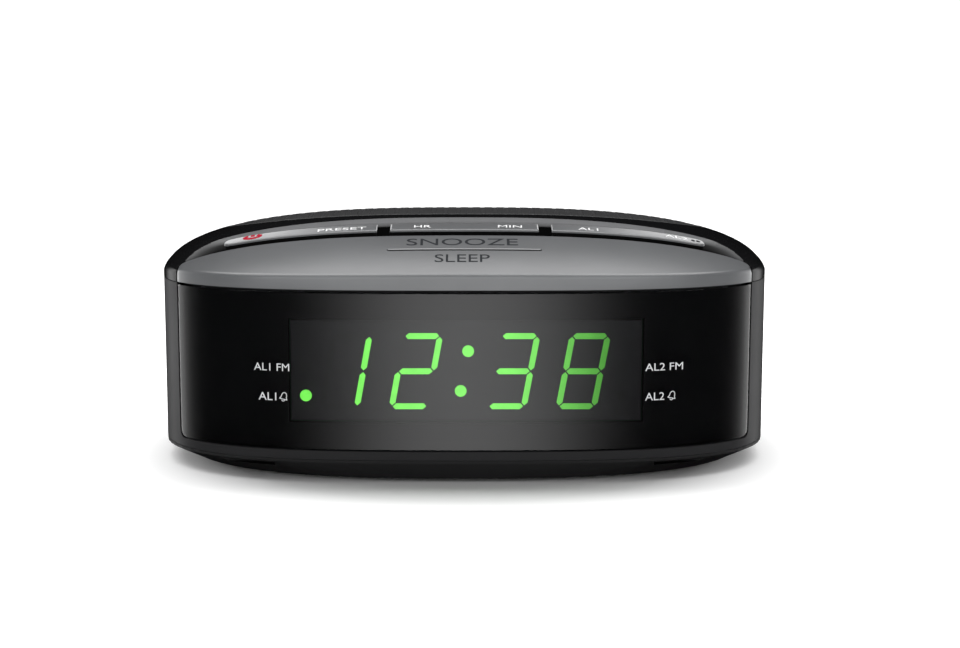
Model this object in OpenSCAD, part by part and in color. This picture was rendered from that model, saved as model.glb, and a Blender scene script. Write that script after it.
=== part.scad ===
// Bedside clock radio with a large four digit display, a snooze bar and three rocker keys.
// Front faces -Y, +Z is up, the origin lies on the table under the middle of the case.

/* [Body] */
// Overall width of the case, mm
body_w = 180; // [160:1:200]
// Overall depth of the case, mm
body_d = 110; // [95:1:130]
// Squareness of the case outline, 2 is an ellipse
outline_power = 3.08; // [2.2:0.02:4]
// Height of the dome's crest above the table
crest_z = 72.7; // [65:0.1:85]
// Radius of the dome from front to back
dome_radius = 113.2; // [90:0.1:150]
// How far the dome falls from the middle to the sides
dome_side_drop = 17.06; // [10:0.01:25]
// How late the dome starts to fall towards the sides
dome_side_power = 2.73; // [2:0.01:4]
// Wall thickness of the plastic case
wall = 2.2; // [1.6:0.1:3]

/* [Split lines] */
// Height of the joint between top cover and housing
parting_z = 54.2; // [48:0.1:58]
// Height of the joint between housing and base pan
base_joint_z = 6.3; // [4:0.1:9]
// Gap between the table and the base pan
foot_gap = 1; // [0.5:0.1:2]

/* [Front lens] */
// Half width of the lens and of the snooze bar above it
lens_half_w = 82.2; // [70:0.1:86]
// Height of the lens's lower edge
lens_bottom_z = 9.1; // [7:0.1:14]
// Height of the lens's upper edge
lens_top_z = 53.6; // [45:0.1:54]
// Thickness of the lens
lens_t = 2.1; // [1.5:0.1:3]
// Radius of the lens's lower corners
lens_corner_r = 2.2; // [0.5:0.1:5]

/* [Snooze bar and keys] */
// Y of the snooze bar's rear edge in the middle
snooze_rear_y = -33.6; // [-38:0.1:-28]
// How far the ends of that edge sweep back
snooze_sweep = 2.4; // [0:0.1:4]
// Shell thickness of the snooze bar
snooze_t = 1.8; // [1.2:0.1:2.5]
// Downward travel of the snooze bar
snooze_travel = 0.5; // [0.3:0.05:0.6]
// Gap round the snooze bar
snooze_gap = 0.4; // [0.2:0.05:0.8]
// Distance from the snooze bar's rear edge to the front of the rocker keys
key_front_gap = 1.5; // [1:0.1:2]
// Rear edge of the rocker keys
key_rear_y = -26.7; // [-27.5:0.1:-26]
// Radius of the side keys' outer corners
key_end_r = 2; // [0.5:0.1:2.2]
// How far the keys stand above the dome
key_proud = 1.0; // [0.3:0.1:1.5]
// Half length of the middle key
centre_key_half = 21.4; // [15:0.1:25]
// Middle of each side key, from the case's centre
side_key_x = 47.3; // [40:0.1:55]
// Half length of each side key
side_key_half = 22.2; // [15:0.1:25]
// Clearance of the keys in their openings
key_clearance = 0.3; // [0.2:0.05:0.5]

/* [Display] */
// Height of each digit
digit_h = 21.6; // [15:0.1:25]
// Distance between a digit's left and right strokes
digit_w = 9.9; // [7:0.1:14]
// Stroke width of the segments
stroke = 1.65; // [1:0.05:2.5]
// Slant of the digits, degrees
digit_slant = 10.4; // [0:0.1:15]
// Height of the digits' middle above the table
digit_mid_z = 30.8; // [25:0.1:36]
// Front face of the display module
display_y = -49.3; // [-50:0.1:-45]

/* [Grille] */
// Half length of the speaker grille
grille_half_w = 74; // [50:0.5:78]
// Half depth of the speaker grille
grille_half_d = 26.5; // [20:0.5:30]
// Y of the grille's centre
grille_y = 13.5; // [8:0.5:18]

/* [Hidden] */

// Fineness of the outline and of the dome
outline_points = 72;
dome_strips = 28;
round_fn = 48;

half_w = body_w / 2;
half_d = body_d / 2;
high_z = crest_z + 8;
far = 200;

// Hidden depths below the dome's surface
channel_depth = 2.6;
tray_bottom = 4.4;
key_under = 2.6;
grille_t = 2.0;
ledge_bottom = 3.6;
boss_into_tray = 3.0;
boss_into_shell = 1.2;

// Channel behind the snooze bar, where the keys lie
channel_rear_y = -17.5;
channel_rear_r = 746;
channel_half_w = 81.6;
channel_corner_r = 4;
rim_w = 2.4;
tray_front_y = -38;

// Lower edge of the snooze bar, which still clears the lens when it is pressed
snooze_skirt_z = lens_top_z + snooze_travel + 0.2;

// Snooze bar guides
guide_x = 50;
guide_y = -42.5;
post_r = 2.5;
post_bottom_z = 55.6;

// Key pivots
pivot_r = 1.0;
pivot_front_y = -36;
pivot_rear_y = -21.8;
centre_pivot_z = 61.2;
side_pivot_z = 59.6;
centre_plunger = 16;
side_plunger = 17;
plunger_y = -29.2;
hub_front_y = -31.2;
hub_rear_y = key_rear_y - 0.1;

// Boards
board_t = 1.6;
key_board_z = 50.4;
main_board_z = 18;
main_top_z = main_board_z + board_t;
display_board_y = -43.3;

// Base pan
base_half_w = 83;
base_half_d = 53.6;
base_power = 2.5;
cavity_half_w = 78;
cavity_half_d = 48.5;
floor_z = 3.2;

// Battery box and its door
door_half_w = 25.2;
door_front_y = 20;
door_rear_y = 53;
door_top_z = 2.7;
tongue_w = 1.4;
box_front_y = 21.2;
box_rear_y = 45;
box_half_w = 26;
box_ceiling_z = 15;
cell_r = 5.25;
cell_l = 44.5;
cell_z = 9;
cell_ys = [27.6, 38.6];

// Speaker
speaker_y = 14;
speaker_r = 28.5;
speaker_ear = 22;
flange_top_z = 60;

// DC inlet
jack_x = 30;
jack_z = 28;
jack_w = 9;
jack_h = 11;
jack_front_y = 39.6;
jack_rear_y = 53.6;
barrel_r = 2.85;
barrel_depth = 9.5;
inlet_pin_r = 1.0;
inlet_pin_l = 8.5;

// Screw places
case_boss_xy = [[70, -24], [68, 27]];
cover_boss_xy = [[79, 0], [45, 44]];
key_boss_xy = [[36, -21.5], [76, -27]];
main_post_xy = [[55, -28], [55, 26]];
foot_xy = [56, 31];

// Colours
gloss_black = [0.03, 0.03, 0.035];
satin_black = [0.09, 0.09, 0.095];
key_grey = [0.36, 0.37, 0.38];
snooze_grey = [0.42, 0.43, 0.45];
board_green = [0.05, 0.25, 0.12];
led_green = [0.45, 1.0, 0.35];
steel = [0.6, 0.6, 0.62];
ivory = [0.85, 0.82, 0.72];
rubber_black = [0.05, 0.05, 0.05];

// ---------------------------------------------------------------- shared geometry

function signed_pow(v, e) = sign(v) * pow(abs(v), e);

// Points of a superellipse with half axes a and b and power n
function superellipse(a, b, n, count) = [
  for (i = [0 : count - 1])
    let (t = 360 * i / count)
      [a * signed_pow(cos(t), 2 / n), b * signed_pow(sin(t), 2 / n)]
];

// The case outline, moved in by inset
module outline(inset) {
  polygon(superellipse(half_w - inset, half_d - inset, outline_power, outline_points));
}

module body_prism(inset, z0, z1) {
  translate([0, 0, z0])
    linear_extrude(z1 - z0)
      outline(inset);
}

// Fall of the dome's radius at a distance x from the middle
function side_fall(x) = dome_side_drop * (1 - sqrt(max(0, 1 - pow(abs(x) / half_w, dome_side_power))));

// Everything under the dome's surface lowered by drop: an arch turned about an axis along X
module dome(drop) {
  xs = [for (i = [0 : dome_strips]) half_w * sin(90 * (2 * i / dome_strips - 1))];
  profile = concat([[0, -half_w]], [for (x = xs) [dome_radius - side_fall(x) - drop, x]], [[0, half_w]]);
  translate([0, 0, crest_z - dome_radius])
    rotate([0, 90, 0])
      rotate_extrude($fn = 180)
        polygon(profile);
}

// A curved slab between two depths under the dome, over a plan given as children
module dome_slab(top_drop, bottom_drop, z0) {
  difference() {
    intersection() {
      translate([0, 0, z0])
        linear_extrude(high_z - z0)
          children();
      dome(top_drop);
    }
    dome(bottom_drop);
  }
}

// Rear edge of the snooze bar, which sweeps back at its ends
function snooze_edge(x) = snooze_rear_y + snooze_sweep * pow(abs(x) / 80, 4);

// Everything in front of the snooze bar's rear edge, grown by g
module front_zone(g) {
  end = lens_half_w + 0.1 + g;
  rear = [for (i = [0 : 24]) let (x = end * (1 - i / 12)) [x, snooze_edge(x) + g]];
  polygon(concat([[-end, -far], [end, -far]], rear));
}

// The channel for the keys, open towards the snooze bar
module channel_plan() {
  corner_y = channel_rear_y - pow(channel_half_w, 2) / (2 * channel_rear_r) - channel_corner_r;
  intersection() {
    outline(rim_w);
    translate([0, channel_rear_y - channel_rear_r])
      circle(r = channel_rear_r, $fn = 720);
    union() {
      translate([-channel_half_w, tray_front_y - 2])
        square([2 * channel_half_w, corner_y - tray_front_y + 2]);
      translate([-channel_half_w + channel_corner_r, tray_front_y - 2])
        square([2 * (channel_half_w - channel_corner_r), 30]);
      for (s = [-1, 1])
        translate([s * (channel_half_w - channel_corner_r), corner_y])
          circle(r = channel_corner_r, $fn = 48);
    }
  }
}

// Plan of a rocker key from x0 to x1, grown by g, with its outer end rounded if asked
module key_plan(x0, x1, g, round_end) {
  steps = 8;
  r = key_end_r + g;
  front = [
    for (i = [0 : steps])
      let (x = x0 - g + (x1 - x0 + 2 * g) * i / steps)
        [x, snooze_edge(x) + key_front_gap - g]
  ];
  front_corner_y = snooze_edge(x1) + key_front_gap + key_end_r;
  difference() {
    polygon(concat(front, [[x1 + g, key_rear_y + g], [x0 - g, key_rear_y + g]]));
    if (round_end)
      translate([x1 - key_end_r, 0])
        difference() {
          translate([0, front_corner_y - 10])
            square([10, 20]);
          translate([0, front_corner_y])
            circle(r = r, $fn = 32);
          translate([0, key_rear_y - key_end_r])
            circle(r = r, $fn = 32);
        }
  }
}

// The tray under the channel, wide enough to meet the cover's shell
module tray_plan() {
  intersection() {
    outline(wall + 0.6);
    translate([-half_w, tray_front_y])
      square([body_w, channel_rear_y + 2.5 - tray_front_y]);
  }
}

module grille_plan(inset) {
  translate([0, grille_y])
    polygon(superellipse(grille_half_w - inset, grille_half_d - inset, 4, 64));
}

// Copies the children to the left and to the right of the middle
module both_sides() {
  children();
  mirror([1, 0, 0])
    children();
}

// A column that ends inside the curved shell above it
module dome_column(x, y, r, z0, depth) {
  intersection() {
    translate([x, y, z0])
      cylinder(r = r, h = high_z - z0, $fn = round_fn);
    dome(depth);
  }
}

module dome_block(x0, x1, y0, y1, z0, depth) {
  intersection() {
    translate([x0, y0, z0])
      cube([x1 - x0, y1 - y0, high_z - z0]);
    dome(depth);
  }
}

module bar_y(x, z, r, y0, y1) {
  translate([x, y0, z])
    rotate([-90, 0, 0])
      cylinder(r = r, h = y1 - y0, $fn = round_fn);
}

// A pan head screw pointing up, with its head's underside at z
module screw_up(x, y, z, head_r, head_h, shank_r, shank_l) {
  translate([x, y, z - head_h])
    difference() {
      cylinder(r = head_r, h = head_h, $fn = 32);
      translate([-head_r * 0.7, -0.3, -0.1])
        cube([head_r * 1.4, 0.6, 0.7]);
      translate([-0.3, -head_r * 0.7, -0.1])
        cube([0.6, head_r * 1.4, 0.7]);
    }
  translate([x, y, z])
    cylinder(r = shank_r, h = shank_l, $fn = 32);
}

// ---------------------------------------------------------------- case

module cover_shell() {
  difference() {
    intersection() {
      body_prism(0, parting_z, high_z);
      dome(0);
    }
    intersection() {
      body_prism(wall, parting_z - 1, high_z + 1);
      dome(wall);
    }
    translate([0, 0, parting_z - 1])
      linear_extrude(far)
        front_zone(snooze_gap);
  }
}

// Bracket pair that holds one key's pivot pin
module pivot_bracket(x, z) {
  dome_block(x - 3, x + 3, pivot_front_y, pivot_front_y + 2.4, z - 2.6, boss_into_tray);
  dome_block(x - 3, x + 3, pivot_rear_y - 2.4, pivot_rear_y, z - 2.6, boss_into_tray);
}

// Deck and sleeve that guide one post of the snooze bar
module snooze_guide() {
  translate([guide_x - 6, -46.5, 55])
    cube([12, 10, 1.8]);
  translate([guide_x, guide_y, 55])
    cylinder(r = 4.3, h = 2.9, $fn = round_fn);
  dome_block(guide_x - 6, guide_x + 6, tray_front_y, tray_front_y + 1.5, 55, boss_into_tray);
}

module cover_fittings() {
  pivot_bracket(0, centre_pivot_z);
  both_sides() {
    pivot_bracket(side_key_x, side_pivot_z);
    snooze_guide();
    for (p = key_boss_xy)
      dome_column(p[0], p[1], 3, key_board_z + board_t, boss_into_tray);
    for (p = cover_boss_xy)
      dome_column(p[0], p[1], 3.5, parting_z, boss_into_shell);
    for (dy = [-speaker_ear, speaker_ear])
      dome_column(speaker_ear, speaker_y + dy, 3.5, flange_top_z, boss_into_shell);
  }
}

module cover_bores() {
  bar_y(0, centre_pivot_z, pivot_r + 0.01, pivot_front_y - 1, pivot_rear_y + 1);
  both_sides() {
    bar_y(side_key_x, side_pivot_z, pivot_r + 0.01, pivot_front_y - 1, pivot_rear_y + 1);
    translate([guide_x, guide_y, 54])
      cylinder(r = post_r + 0.08, h = 5, $fn = round_fn);
    for (p = key_boss_xy)
      translate([p[0], p[1], key_board_z])
        cylinder(r = 1.0, h = 7, $fn = 32);
    for (p = cover_boss_xy)
      translate([p[0], p[1], parting_z - 1])
        cylinder(r = 1.3, h = 5.6, $fn = 32);
    for (dy = [-speaker_ear, speaker_ear])
      translate([speaker_ear, speaker_y + dy, flange_top_z - 1])
        cylinder(r = 1.0, h = 4.4, $fn = 32);
  }
}

// Opening in the channel's floor for one key
module key_opening(x, half, round_end) {
  translate([0, 0, parting_z - 1])
    linear_extrude(30)
      key_plan(x - half, x + half, key_clearance, round_end);
}

module top_cover() color(gloss_black) {
  difference() {
    union() {
      cover_shell();
      dome_slab(1, tray_bottom, parting_z)
        tray_plan();
      dome_slab(grille_t, ledge_bottom, parting_z)
        difference() {
          grille_plan(-2);
          grille_plan(2);
        }
      cover_fittings();
    }
    difference() {
      translate([0, 0, parting_z + 0.5])
        linear_extrude(far)
          channel_plan();
      dome(channel_depth);
    }
    difference() {
      translate([0, 0, parting_z + 0.5])
        linear_extrude(far)
          grille_plan(0);
      dome(grille_t);
    }
    translate([0, 0, parting_z + 0.5])
      linear_extrude(far)
        grille_plan(2);
    key_opening(0, centre_key_half, false);
    both_sides()
      key_opening(side_key_x, side_key_half, true);
    cover_bores();
  }
}

module speaker_grille() color(satin_black) {
  slot_pitch = 4.8;
  slot_w = 2.4;
  slots_each_side = 14;
  difference() {
    dome_slab(0, grille_t, parting_z)
      grille_plan(0.15);
    for (i = [-slots_each_side : slots_each_side]) {
      x = i * slot_pitch;
      reach = grille_half_d * pow(1 - pow(abs(x) / grille_half_w, 4), 0.25) - 3.2;
      translate([x - slot_w / 2, grille_y - reach, parting_z])
        cube([slot_w, 2 * reach, 30]);
    }
  }
}

// Strip of the case wall between two insets, over the width of the lens
module front_strip(inset0, inset1, half, z0, z1) {
  intersection() {
    difference() {
      body_prism(inset0, z0, z1);
      body_prism(inset1, z0 - 1, z1 + 1);
    }
    translate([-half, -far, z0])
      cube([2 * half, far - 20, z1 - z0]);
  }
}

module housing_fittings() {
  both_sides() {
    for (p = case_boss_xy) {
      translate([p[0], p[1], base_joint_z])
        cylinder(r = 4, h = 16, $fn = round_fn);
      translate([p[0] + 2, p[1] - 1, base_joint_z])
        cube([20, 2, 16]);
    }
    // Tabs under the cover's bosses
    translate([cover_boss_xy[0][0], cover_boss_xy[0][1], parting_z - 3])
      cylinder(r = 4.5, h = 3, $fn = round_fn);
    translate([cover_boss_xy[0][0], -4.5, parting_z - 3])
      cube([12, 9, 3]);
    translate([cover_boss_xy[1][0], cover_boss_xy[1][1], parting_z - 3])
      cylinder(r = 4.5, h = 3, $fn = round_fn);
    translate([cover_boss_xy[1][0] - 4.5, cover_boss_xy[1][1], parting_z - 3])
      cube([9, 12, 3]);
    // Posts that carry the display board
    for (z = [17, 45])
      bar_y(53.6, z, 2.2, -47.5, display_board_y);
  }
}

module mid_housing() color(satin_black) {
  difference() {
    union() {
      difference() {
        body_prism(0, base_joint_z, parting_z);
        body_prism(wall, base_joint_z - 1, parting_z + 1);
      }
      front_strip(lens_t, 4.3, 84, base_joint_z, parting_z);
      intersection() {
        housing_fittings();
        body_prism(1, base_joint_z, parting_z);
      }
    }
    front_strip(-1, lens_t, lens_half_w + 0.2, lens_bottom_z - 0.15, parting_z + 1);
    // Window for the display module
    translate([-49.2, -60, 16.4])
      cube([99.4, 20, 29.4]);
    // Opening for the DC inlet
    translate([jack_x - jack_w / 2 - 0.1, 45, jack_z - jack_h / 2 - 0.1])
      cube([jack_w + 0.2, 20, jack_h + 0.2]);
    both_sides() {
      for (p = case_boss_xy)
        translate([p[0], p[1], base_joint_z - 1])
          cylinder(r = 1.3, h = 14, $fn = 32);
      for (p = cover_boss_xy)
        translate([p[0], p[1], parting_z - 4])
          cylinder(r = 1.6, h = 5, $fn = 32);
      for (z = [17, 45])
        bar_y(53.6, z, 0.95, -46.8, display_board_y + 1);
    }
  }
}

// The pan's outer shape, drawn in towards the table
module base_body() {
  hull() {
    body_prism(0, base_joint_z - 0.8, base_joint_z);
    translate([0, 0, foot_gap])
      linear_extrude(0.4)
        polygon(superellipse(base_half_w, base_half_d, base_power, outline_points));
  }
}

module battery_box() {
  translate([-box_half_w - 2.4, box_front_y - 1.6, foot_gap + 1])
    cube([2 * box_half_w + 4.8, box_rear_y - box_front_y + 3.2, box_ceiling_z + 1.4 - foot_gap - 1]);
}

module door_channel() {
  // Slot for the door and grooves for its tongues, open at the rear
  translate([-door_half_w - 0.2, door_front_y - 0.2, 0])
    cube([2 * door_half_w + 0.4, far, door_top_z + 0.2]);
  translate([-door_half_w - tongue_w - 0.2, door_front_y - 0.2, 1.6])
    cube([2 * (door_half_w + tongue_w) + 0.4, far, 1.0]);
  translate([-box_half_w, box_front_y, 0])
    cube([2 * box_half_w, box_rear_y - box_front_y, box_ceiling_z]);
}

module base_pan() color(satin_black) {
  difference() {
    union() {
      difference() {
        base_body();
        translate([0, 0, floor_z])
          linear_extrude(20)
            polygon(superellipse(cavity_half_w, cavity_half_d, base_power, outline_points));
      }
      battery_box();
      both_sides() {
        for (p = case_boss_xy)
          translate([p[0], p[1], 2])
            cylinder(r = 4.5, h = base_joint_z - 2, $fn = round_fn);
        for (p = main_post_xy)
          translate([p[0], p[1], 2])
            cylinder(r = 3, h = main_board_z - 2, $fn = round_fn);
      }
    }
    door_channel();
    both_sides() {
      for (p = case_boss_xy) {
        translate([p[0], p[1], 0])
          cylinder(r = 3.1, h = 3.4, $fn = round_fn);
        translate([p[0], p[1], 0])
          cylinder(r = 1.7, h = 10, $fn = 32);
      }
      for (p = main_post_xy)
        translate([p[0], p[1], 10])
          cylinder(r = 1.0, h = 10, $fn = 32);
      for (s = [-1, 1])
        translate([foot_xy[0], s * foot_xy[1], 0])
          cylinder(r = 6.1, h = 1.8, $fn = round_fn);
      // Finger slot low on the front corners
      translate([53.5, -54, 4.0])
        cube([17.5, 10, 1.1]);
    }
  }
}

module front_lens() color(gloss_black) {
  intersection() {
    front_strip(0, lens_t, lens_half_w, lens_bottom_z, lens_top_z);
    // Round the two lower corners
    translate([0, -20, 0])
      rotate([90, 0, 0])
        linear_extrude(60)
          union() {
            translate([-lens_half_w, lens_bottom_z + lens_corner_r])
              square([2 * lens_half_w, lens_top_z - lens_bottom_z]);
            for (s = [-1, 1])
              translate([s * (lens_half_w - lens_corner_r), lens_bottom_z + lens_corner_r])
                circle(r = lens_corner_r, $fn = 32);
            translate([-lens_half_w + lens_corner_r, lens_bottom_z])
              square([2 * (lens_half_w - lens_corner_r), 10]);
          }
  }
}

// ---------------------------------------------------------------- display

// Middle of each digit, and the strokes that are lit to read 12:38
digit_xs = [-33.3, -13.6, 13.6, 33.3];
all_strokes = ["a", "b", "c", "d", "e", "f", "g"];
lit_strokes = [
  ["b", "c"],
  ["a", "b", "g", "e", "d"],
  ["a", "b", "g", "c", "d"],
  ["a", "b", "c", "d", "e", "f", "g"]
];

half_stroke = stroke / 2;
row_h = digit_h / 2 - half_stroke;
stroke_gap = 0.25;

// A stroke along +u from 0 to length with pointed ends
function stroke_shape(length) = [
  [stroke_gap, 0], [stroke_gap + half_stroke, half_stroke],
  [length - stroke_gap - half_stroke, half_stroke], [length - stroke_gap, 0],
  [length - stroke_gap - half_stroke, -half_stroke], [stroke_gap + half_stroke, -half_stroke]
];

// Start point and direction of each stroke, about the digit's middle
function stroke_start(s) =
  s == "a" ? [-digit_w / 2, row_h] :
  s == "g" ? [-digit_w / 2, 0] :
  s == "d" ? [-digit_w / 2, -row_h] :
  s == "f" ? [-digit_w / 2, 0] :
  s == "e" ? [-digit_w / 2, -row_h] :
  s == "b" ? [digit_w / 2, 0] : [digit_w / 2, -row_h];
function is_flat(s) = s == "a" || s == "g" || s == "d";

function slanted(p) = [p[0] + p[1] * tan(digit_slant), p[1]];
function stroke_points(s) =
  let (shape = stroke_shape(is_flat(s) ? digit_w : row_h), o = stroke_start(s))
    [for (q = shape) slanted(o + (is_flat(s) ? q : [q[1], q[0]]))];

// One stroke as a bar between two depths behind the display's face
module stroke_bar(digit, s, y0, y1) {
  translate([digit_xs[digit], y1, digit_mid_z])
    rotate([90, 0, 0])
      linear_extrude(y1 - y0)
        polygon(stroke_points(s));
}

function is_lit(digit, s) = len([for (q = lit_strokes[digit]) if (q == s) q]) > 0;

module strokes(lit, y0, y1) {
  for (digit = [0 : 3])
    for (s = all_strokes)
      if (is_lit(digit, s) == lit)
        stroke_bar(digit, s, y0, y1);
}

dot_r = 1.65;
lit_dots = [[1.05, 36.5], [-1.05, 25.2], [-44.5, 23.9]];
dark_dots = [[-44.5, 32.2], [44.5, 32.2], [44.5, 23.9]];
face_proud = 0.1;
pocket = 0.9;

module dots(places, y0, y1) {
  for (p = places)
    bar_y(p[0], p[1], dot_r, y0, y1);
}

module display_module() color(satin_black) {
  difference() {
    translate([-48.6, display_y, 16.9])
      cube([98.2, display_board_y - display_y, 28.4]);
    strokes(true, display_y - 1, display_y + pocket);
    strokes(false, display_y - 1, display_y + pocket);
    dots(lit_dots, display_y - 1, display_y + pocket);
    dots(dark_dots, display_y - 1, display_y + pocket);
  }
}

module digits_lit() color(led_green) {
  strokes(true, display_y - face_proud, display_y + pocket);
}

module digits_unlit() color(satin_black) {
  strokes(false, display_y, display_y + pocket);
  dots(dark_dots, display_y, display_y + pocket);
}

module indicator_dots() color(led_green) {
  dots(lit_dots, display_y - face_proud, display_y + pocket);
}

module display_board() color(board_green) {
  difference() {
    translate([-57, display_board_y, 14])
      cube([114, board_t, 34]);
    both_sides()
      for (z = [17, 45])
        bar_y(53.6, z, 1.2, display_board_y - 1, display_board_y + board_t + 1);
  }
}

// ---------------------------------------------------------------- boards

module main_board() color(board_green) {
  difference() {
    translate([-61, -34, main_board_z])
      cube([122, 65, board_t]);
    both_sides()
      for (p = main_post_xy)
        translate([p[0], p[1], main_board_z - 1])
          cylinder(r = 1.2, h = board_t + 2, $fn = 32);
  }
}

module key_board() color(board_green) {
  difference() {
    translate([0, 0, key_board_z])
      linear_extrude(board_t)
        intersection() {
          outline(5);
          translate([-half_w, -48])
            square([body_w, 30]);
        }
    both_sides()
      for (p = key_boss_xy)
        translate([p[0], p[1], key_board_z - 1])
          cylinder(r = 1.15, h = board_t + 2, $fn = 32);
  }
}

// A silicone return pad that stands on the key board
module return_pad(x, y) {
  base_z = key_board_z + board_t;
  top_z = post_bottom_z - 0.2;
  translate([x, y, 0])
    rotate_extrude($fn = 32)
      polygon([[0, base_z], [3.4, base_z], [3.4, base_z + 0.7], [2.0, top_z - 0.8], [2.0, top_z], [0, top_z]]);
}

module snooze_pads() color(ivory) {
  both_sides()
    return_pad(guide_x, guide_y);
}

module key_pads() color(ivory) {
  both_sides() {
    return_pad(centre_plunger, plunger_y);
    return_pad(side_key_x - side_plunger, plunger_y);
    return_pad(side_key_x + side_plunger, plunger_y);
  }
}

// ---------------------------------------------------------------- snooze bar and keys

module snooze_key() color(snooze_grey) {
  difference() {
    intersection() {
      translate([0, 0, snooze_skirt_z])
        linear_extrude(high_z - snooze_skirt_z)
          intersection() {
            outline(0);
            front_zone(0);
          }
      dome(0);
    }
    intersection() {
      body_prism(snooze_t, parting_z - 1, high_z + 2);
      dome(snooze_t);
    }
  }
  both_sides()
    dome_column(guide_x, guide_y, post_r, post_bottom_z, 1);
}

// One rocker key: curved cap, pivot hub and two plungers
module rocker_key(x, half, pivot_z, plunger, round_end) {
  difference() {
    union() {
      dome_slab(-key_proud, key_under, parting_z)
        key_plan(x - half, x + half, 0, round_end);
      bar_y(x, pivot_z, 2.5, hub_front_y, hub_rear_y);
      dome_block(x - 1.5, x + 1.5, hub_front_y, hub_rear_y, pivot_z, 1.5);
      for (s = [-1, 1])
        dome_column(x + s * plunger, plunger_y, 1.5, post_bottom_z, 1.5);
    }
    bar_y(x, pivot_z, pivot_r + 0.06, hub_front_y - 1, hub_rear_y + 1);
  }
}

module key_left() color(key_grey) {
  mirror([1, 0, 0])
    rocker_key(side_key_x, side_key_half, side_pivot_z, side_plunger, true);
}

module key_centre() color(key_grey) {
  rocker_key(0, centre_key_half, centre_pivot_z, centre_plunger, false);
}

module key_right() color(key_grey) {
  rocker_key(side_key_x, side_key_half, side_pivot_z, side_plunger, true);
}

module key_pivot_pins() color(steel) {
  bar_y(0, centre_pivot_z, pivot_r, pivot_front_y, pivot_rear_y);
  both_sides()
    bar_y(side_key_x, side_pivot_z, pivot_r, pivot_front_y, pivot_rear_y);
}

// ---------------------------------------------------------------- speaker

module speaker_frame() color(steel) {
  translate([0, speaker_y, 0])
    rotate_extrude($fn = 64)
      polygon([[25.6, 60], [speaker_r, 60], [speaker_r, 58.4], [26.4, 58.4],
        [18.5, 48], [18.5, 46], [9, 46], [9, 47.2], [17.3, 47.2], [17.3, 48.4], [25.6, 59.2]]);
  both_sides()
    for (s = [-1, 1])
      difference() {
        translate([speaker_ear, speaker_y + s * speaker_ear, 58.4])
          cylinder(r = 4.2, h = 1.6, $fn = 32);
        translate([0, speaker_y, 58])
          cylinder(r = speaker_r - 0.8, h = 3, $fn = 64);
        translate([speaker_ear, speaker_y + s * speaker_ear, 58])
          cylinder(r = 1.2, h = 3, $fn = 32);
      }
  // Terminal tab for the leads
  translate([18, speaker_y - 3, 51])
    cube([8.5, 6, 1]);
}

module speaker_magnet() color(steel) {
  translate([0, speaker_y, 36])
    cylinder(r = 16, h = 10, $fn = 64);
}

module speaker_cone() color(satin_black) {
  translate([0, speaker_y, 0])
    rotate_extrude($fn = 64)
      polygon([[7, 51], [7.6, 51], [23.4, 59], [25.5, 59.2], [25.5, 59.6], [23.2, 59.6], [7, 51.4]]);
}

module speaker_dust_cap() color(satin_black) {
  translate([0, speaker_y, 51.5])
    rotate_extrude($fn = 64)
      polygon([[0, 3.2], [3, 2.8], [5.4, 1.8], [7, 0], [0, 0]]);
}

module speaker_screws() color(steel) {
  both_sides()
    for (s = [-1, 1])
      screw_up(speaker_ear, speaker_y + s * speaker_ear, 58.4, 2.2, 1.3, 0.95, 4.6);
}

// ---------------------------------------------------------------- power

module dc_jack() color(rubber_black) {
  difference() {
    translate([jack_x - jack_w / 2, jack_front_y, jack_z - jack_h / 2])
      cube([jack_w, jack_rear_y - jack_front_y, jack_h]);
    bar_y(jack_x, jack_z, barrel_r, jack_rear_y - barrel_depth, jack_rear_y + 1);
  }
}

module dc_pin() color(steel) {
  y0 = jack_rear_y - barrel_depth;
  bar_y(jack_x, jack_z, inlet_pin_r, y0, y0 + inlet_pin_l);
}

module battery_door() color(satin_black) {
  difference() {
    union() {
      translate([-door_half_w, door_front_y, foot_gap])
        cube([2 * door_half_w, door_rear_y - door_front_y, door_top_z - foot_gap]);
      translate([-door_half_w - tongue_w, door_front_y, 1.7])
        cube([2 * (door_half_w + tongue_w), door_rear_y - door_front_y, 0.8]);
    }
    // Grip grooves near the rear edge
    for (i = [0 : 4])
      translate([-9, 40 + 2 * i, 0])
        cube([18, 1, foot_gap + 0.5]);
  }
}

module backup_cells() color(ivory) {
  for (i = [0, 1]) {
    s = i == 0 ? 1 : -1;
    translate([-cell_l / 2, cell_ys[i], cell_z])
      rotate([0, 90, 0])
        cylinder(r = cell_r, h = cell_l, $fn = round_fn);
    translate([s * cell_l / 2, cell_ys[i], cell_z])
      rotate([0, s * 90, 0])
        cylinder(r = 1.9, h = 0.8, $fn = 32);
  }
}

module battery_contacts() color(steel) {
  plate_t = 0.4;
  for (i = [0, 1]) {
    s = i == 0 ? 1 : -1;
    // Plate and button at the positive end
    translate([s > 0 ? box_half_w - plate_t : -box_half_w, cell_ys[i] - 4, cell_z - 4])
      cube([plate_t, 8, 8]);
    translate([s * (cell_l / 2 + 0.8), cell_ys[i], cell_z])
      rotate([0, s * 90, 0])
        cylinder(r = 2, h = box_half_w - plate_t - cell_l / 2 - 0.8, $fn = 32);
    // Plate and conical spring at the negative end
    translate([s > 0 ? -box_half_w : box_half_w - plate_t, cell_ys[i] - 4, cell_z - 4])
      cube([plate_t, 8, 8]);
    translate([-s * (box_half_w - plate_t), cell_ys[i], cell_z])
      rotate([0, s * 90, 0])
        rotate_extrude($fn = 32)
          polygon([[2.6, 0], [3.4, 0], [2.6, box_half_w - plate_t - cell_l / 2],
            [1.8, box_half_w - plate_t - cell_l / 2]]);
  }
}

module rubber_feet() color(rubber_black) {
  both_sides()
    for (s = [-1, 1])
      translate([foot_xy[0], s * foot_xy[1], 0])
        cylinder(r = 6, h = 1.8, $fn = round_fn);
}

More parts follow.
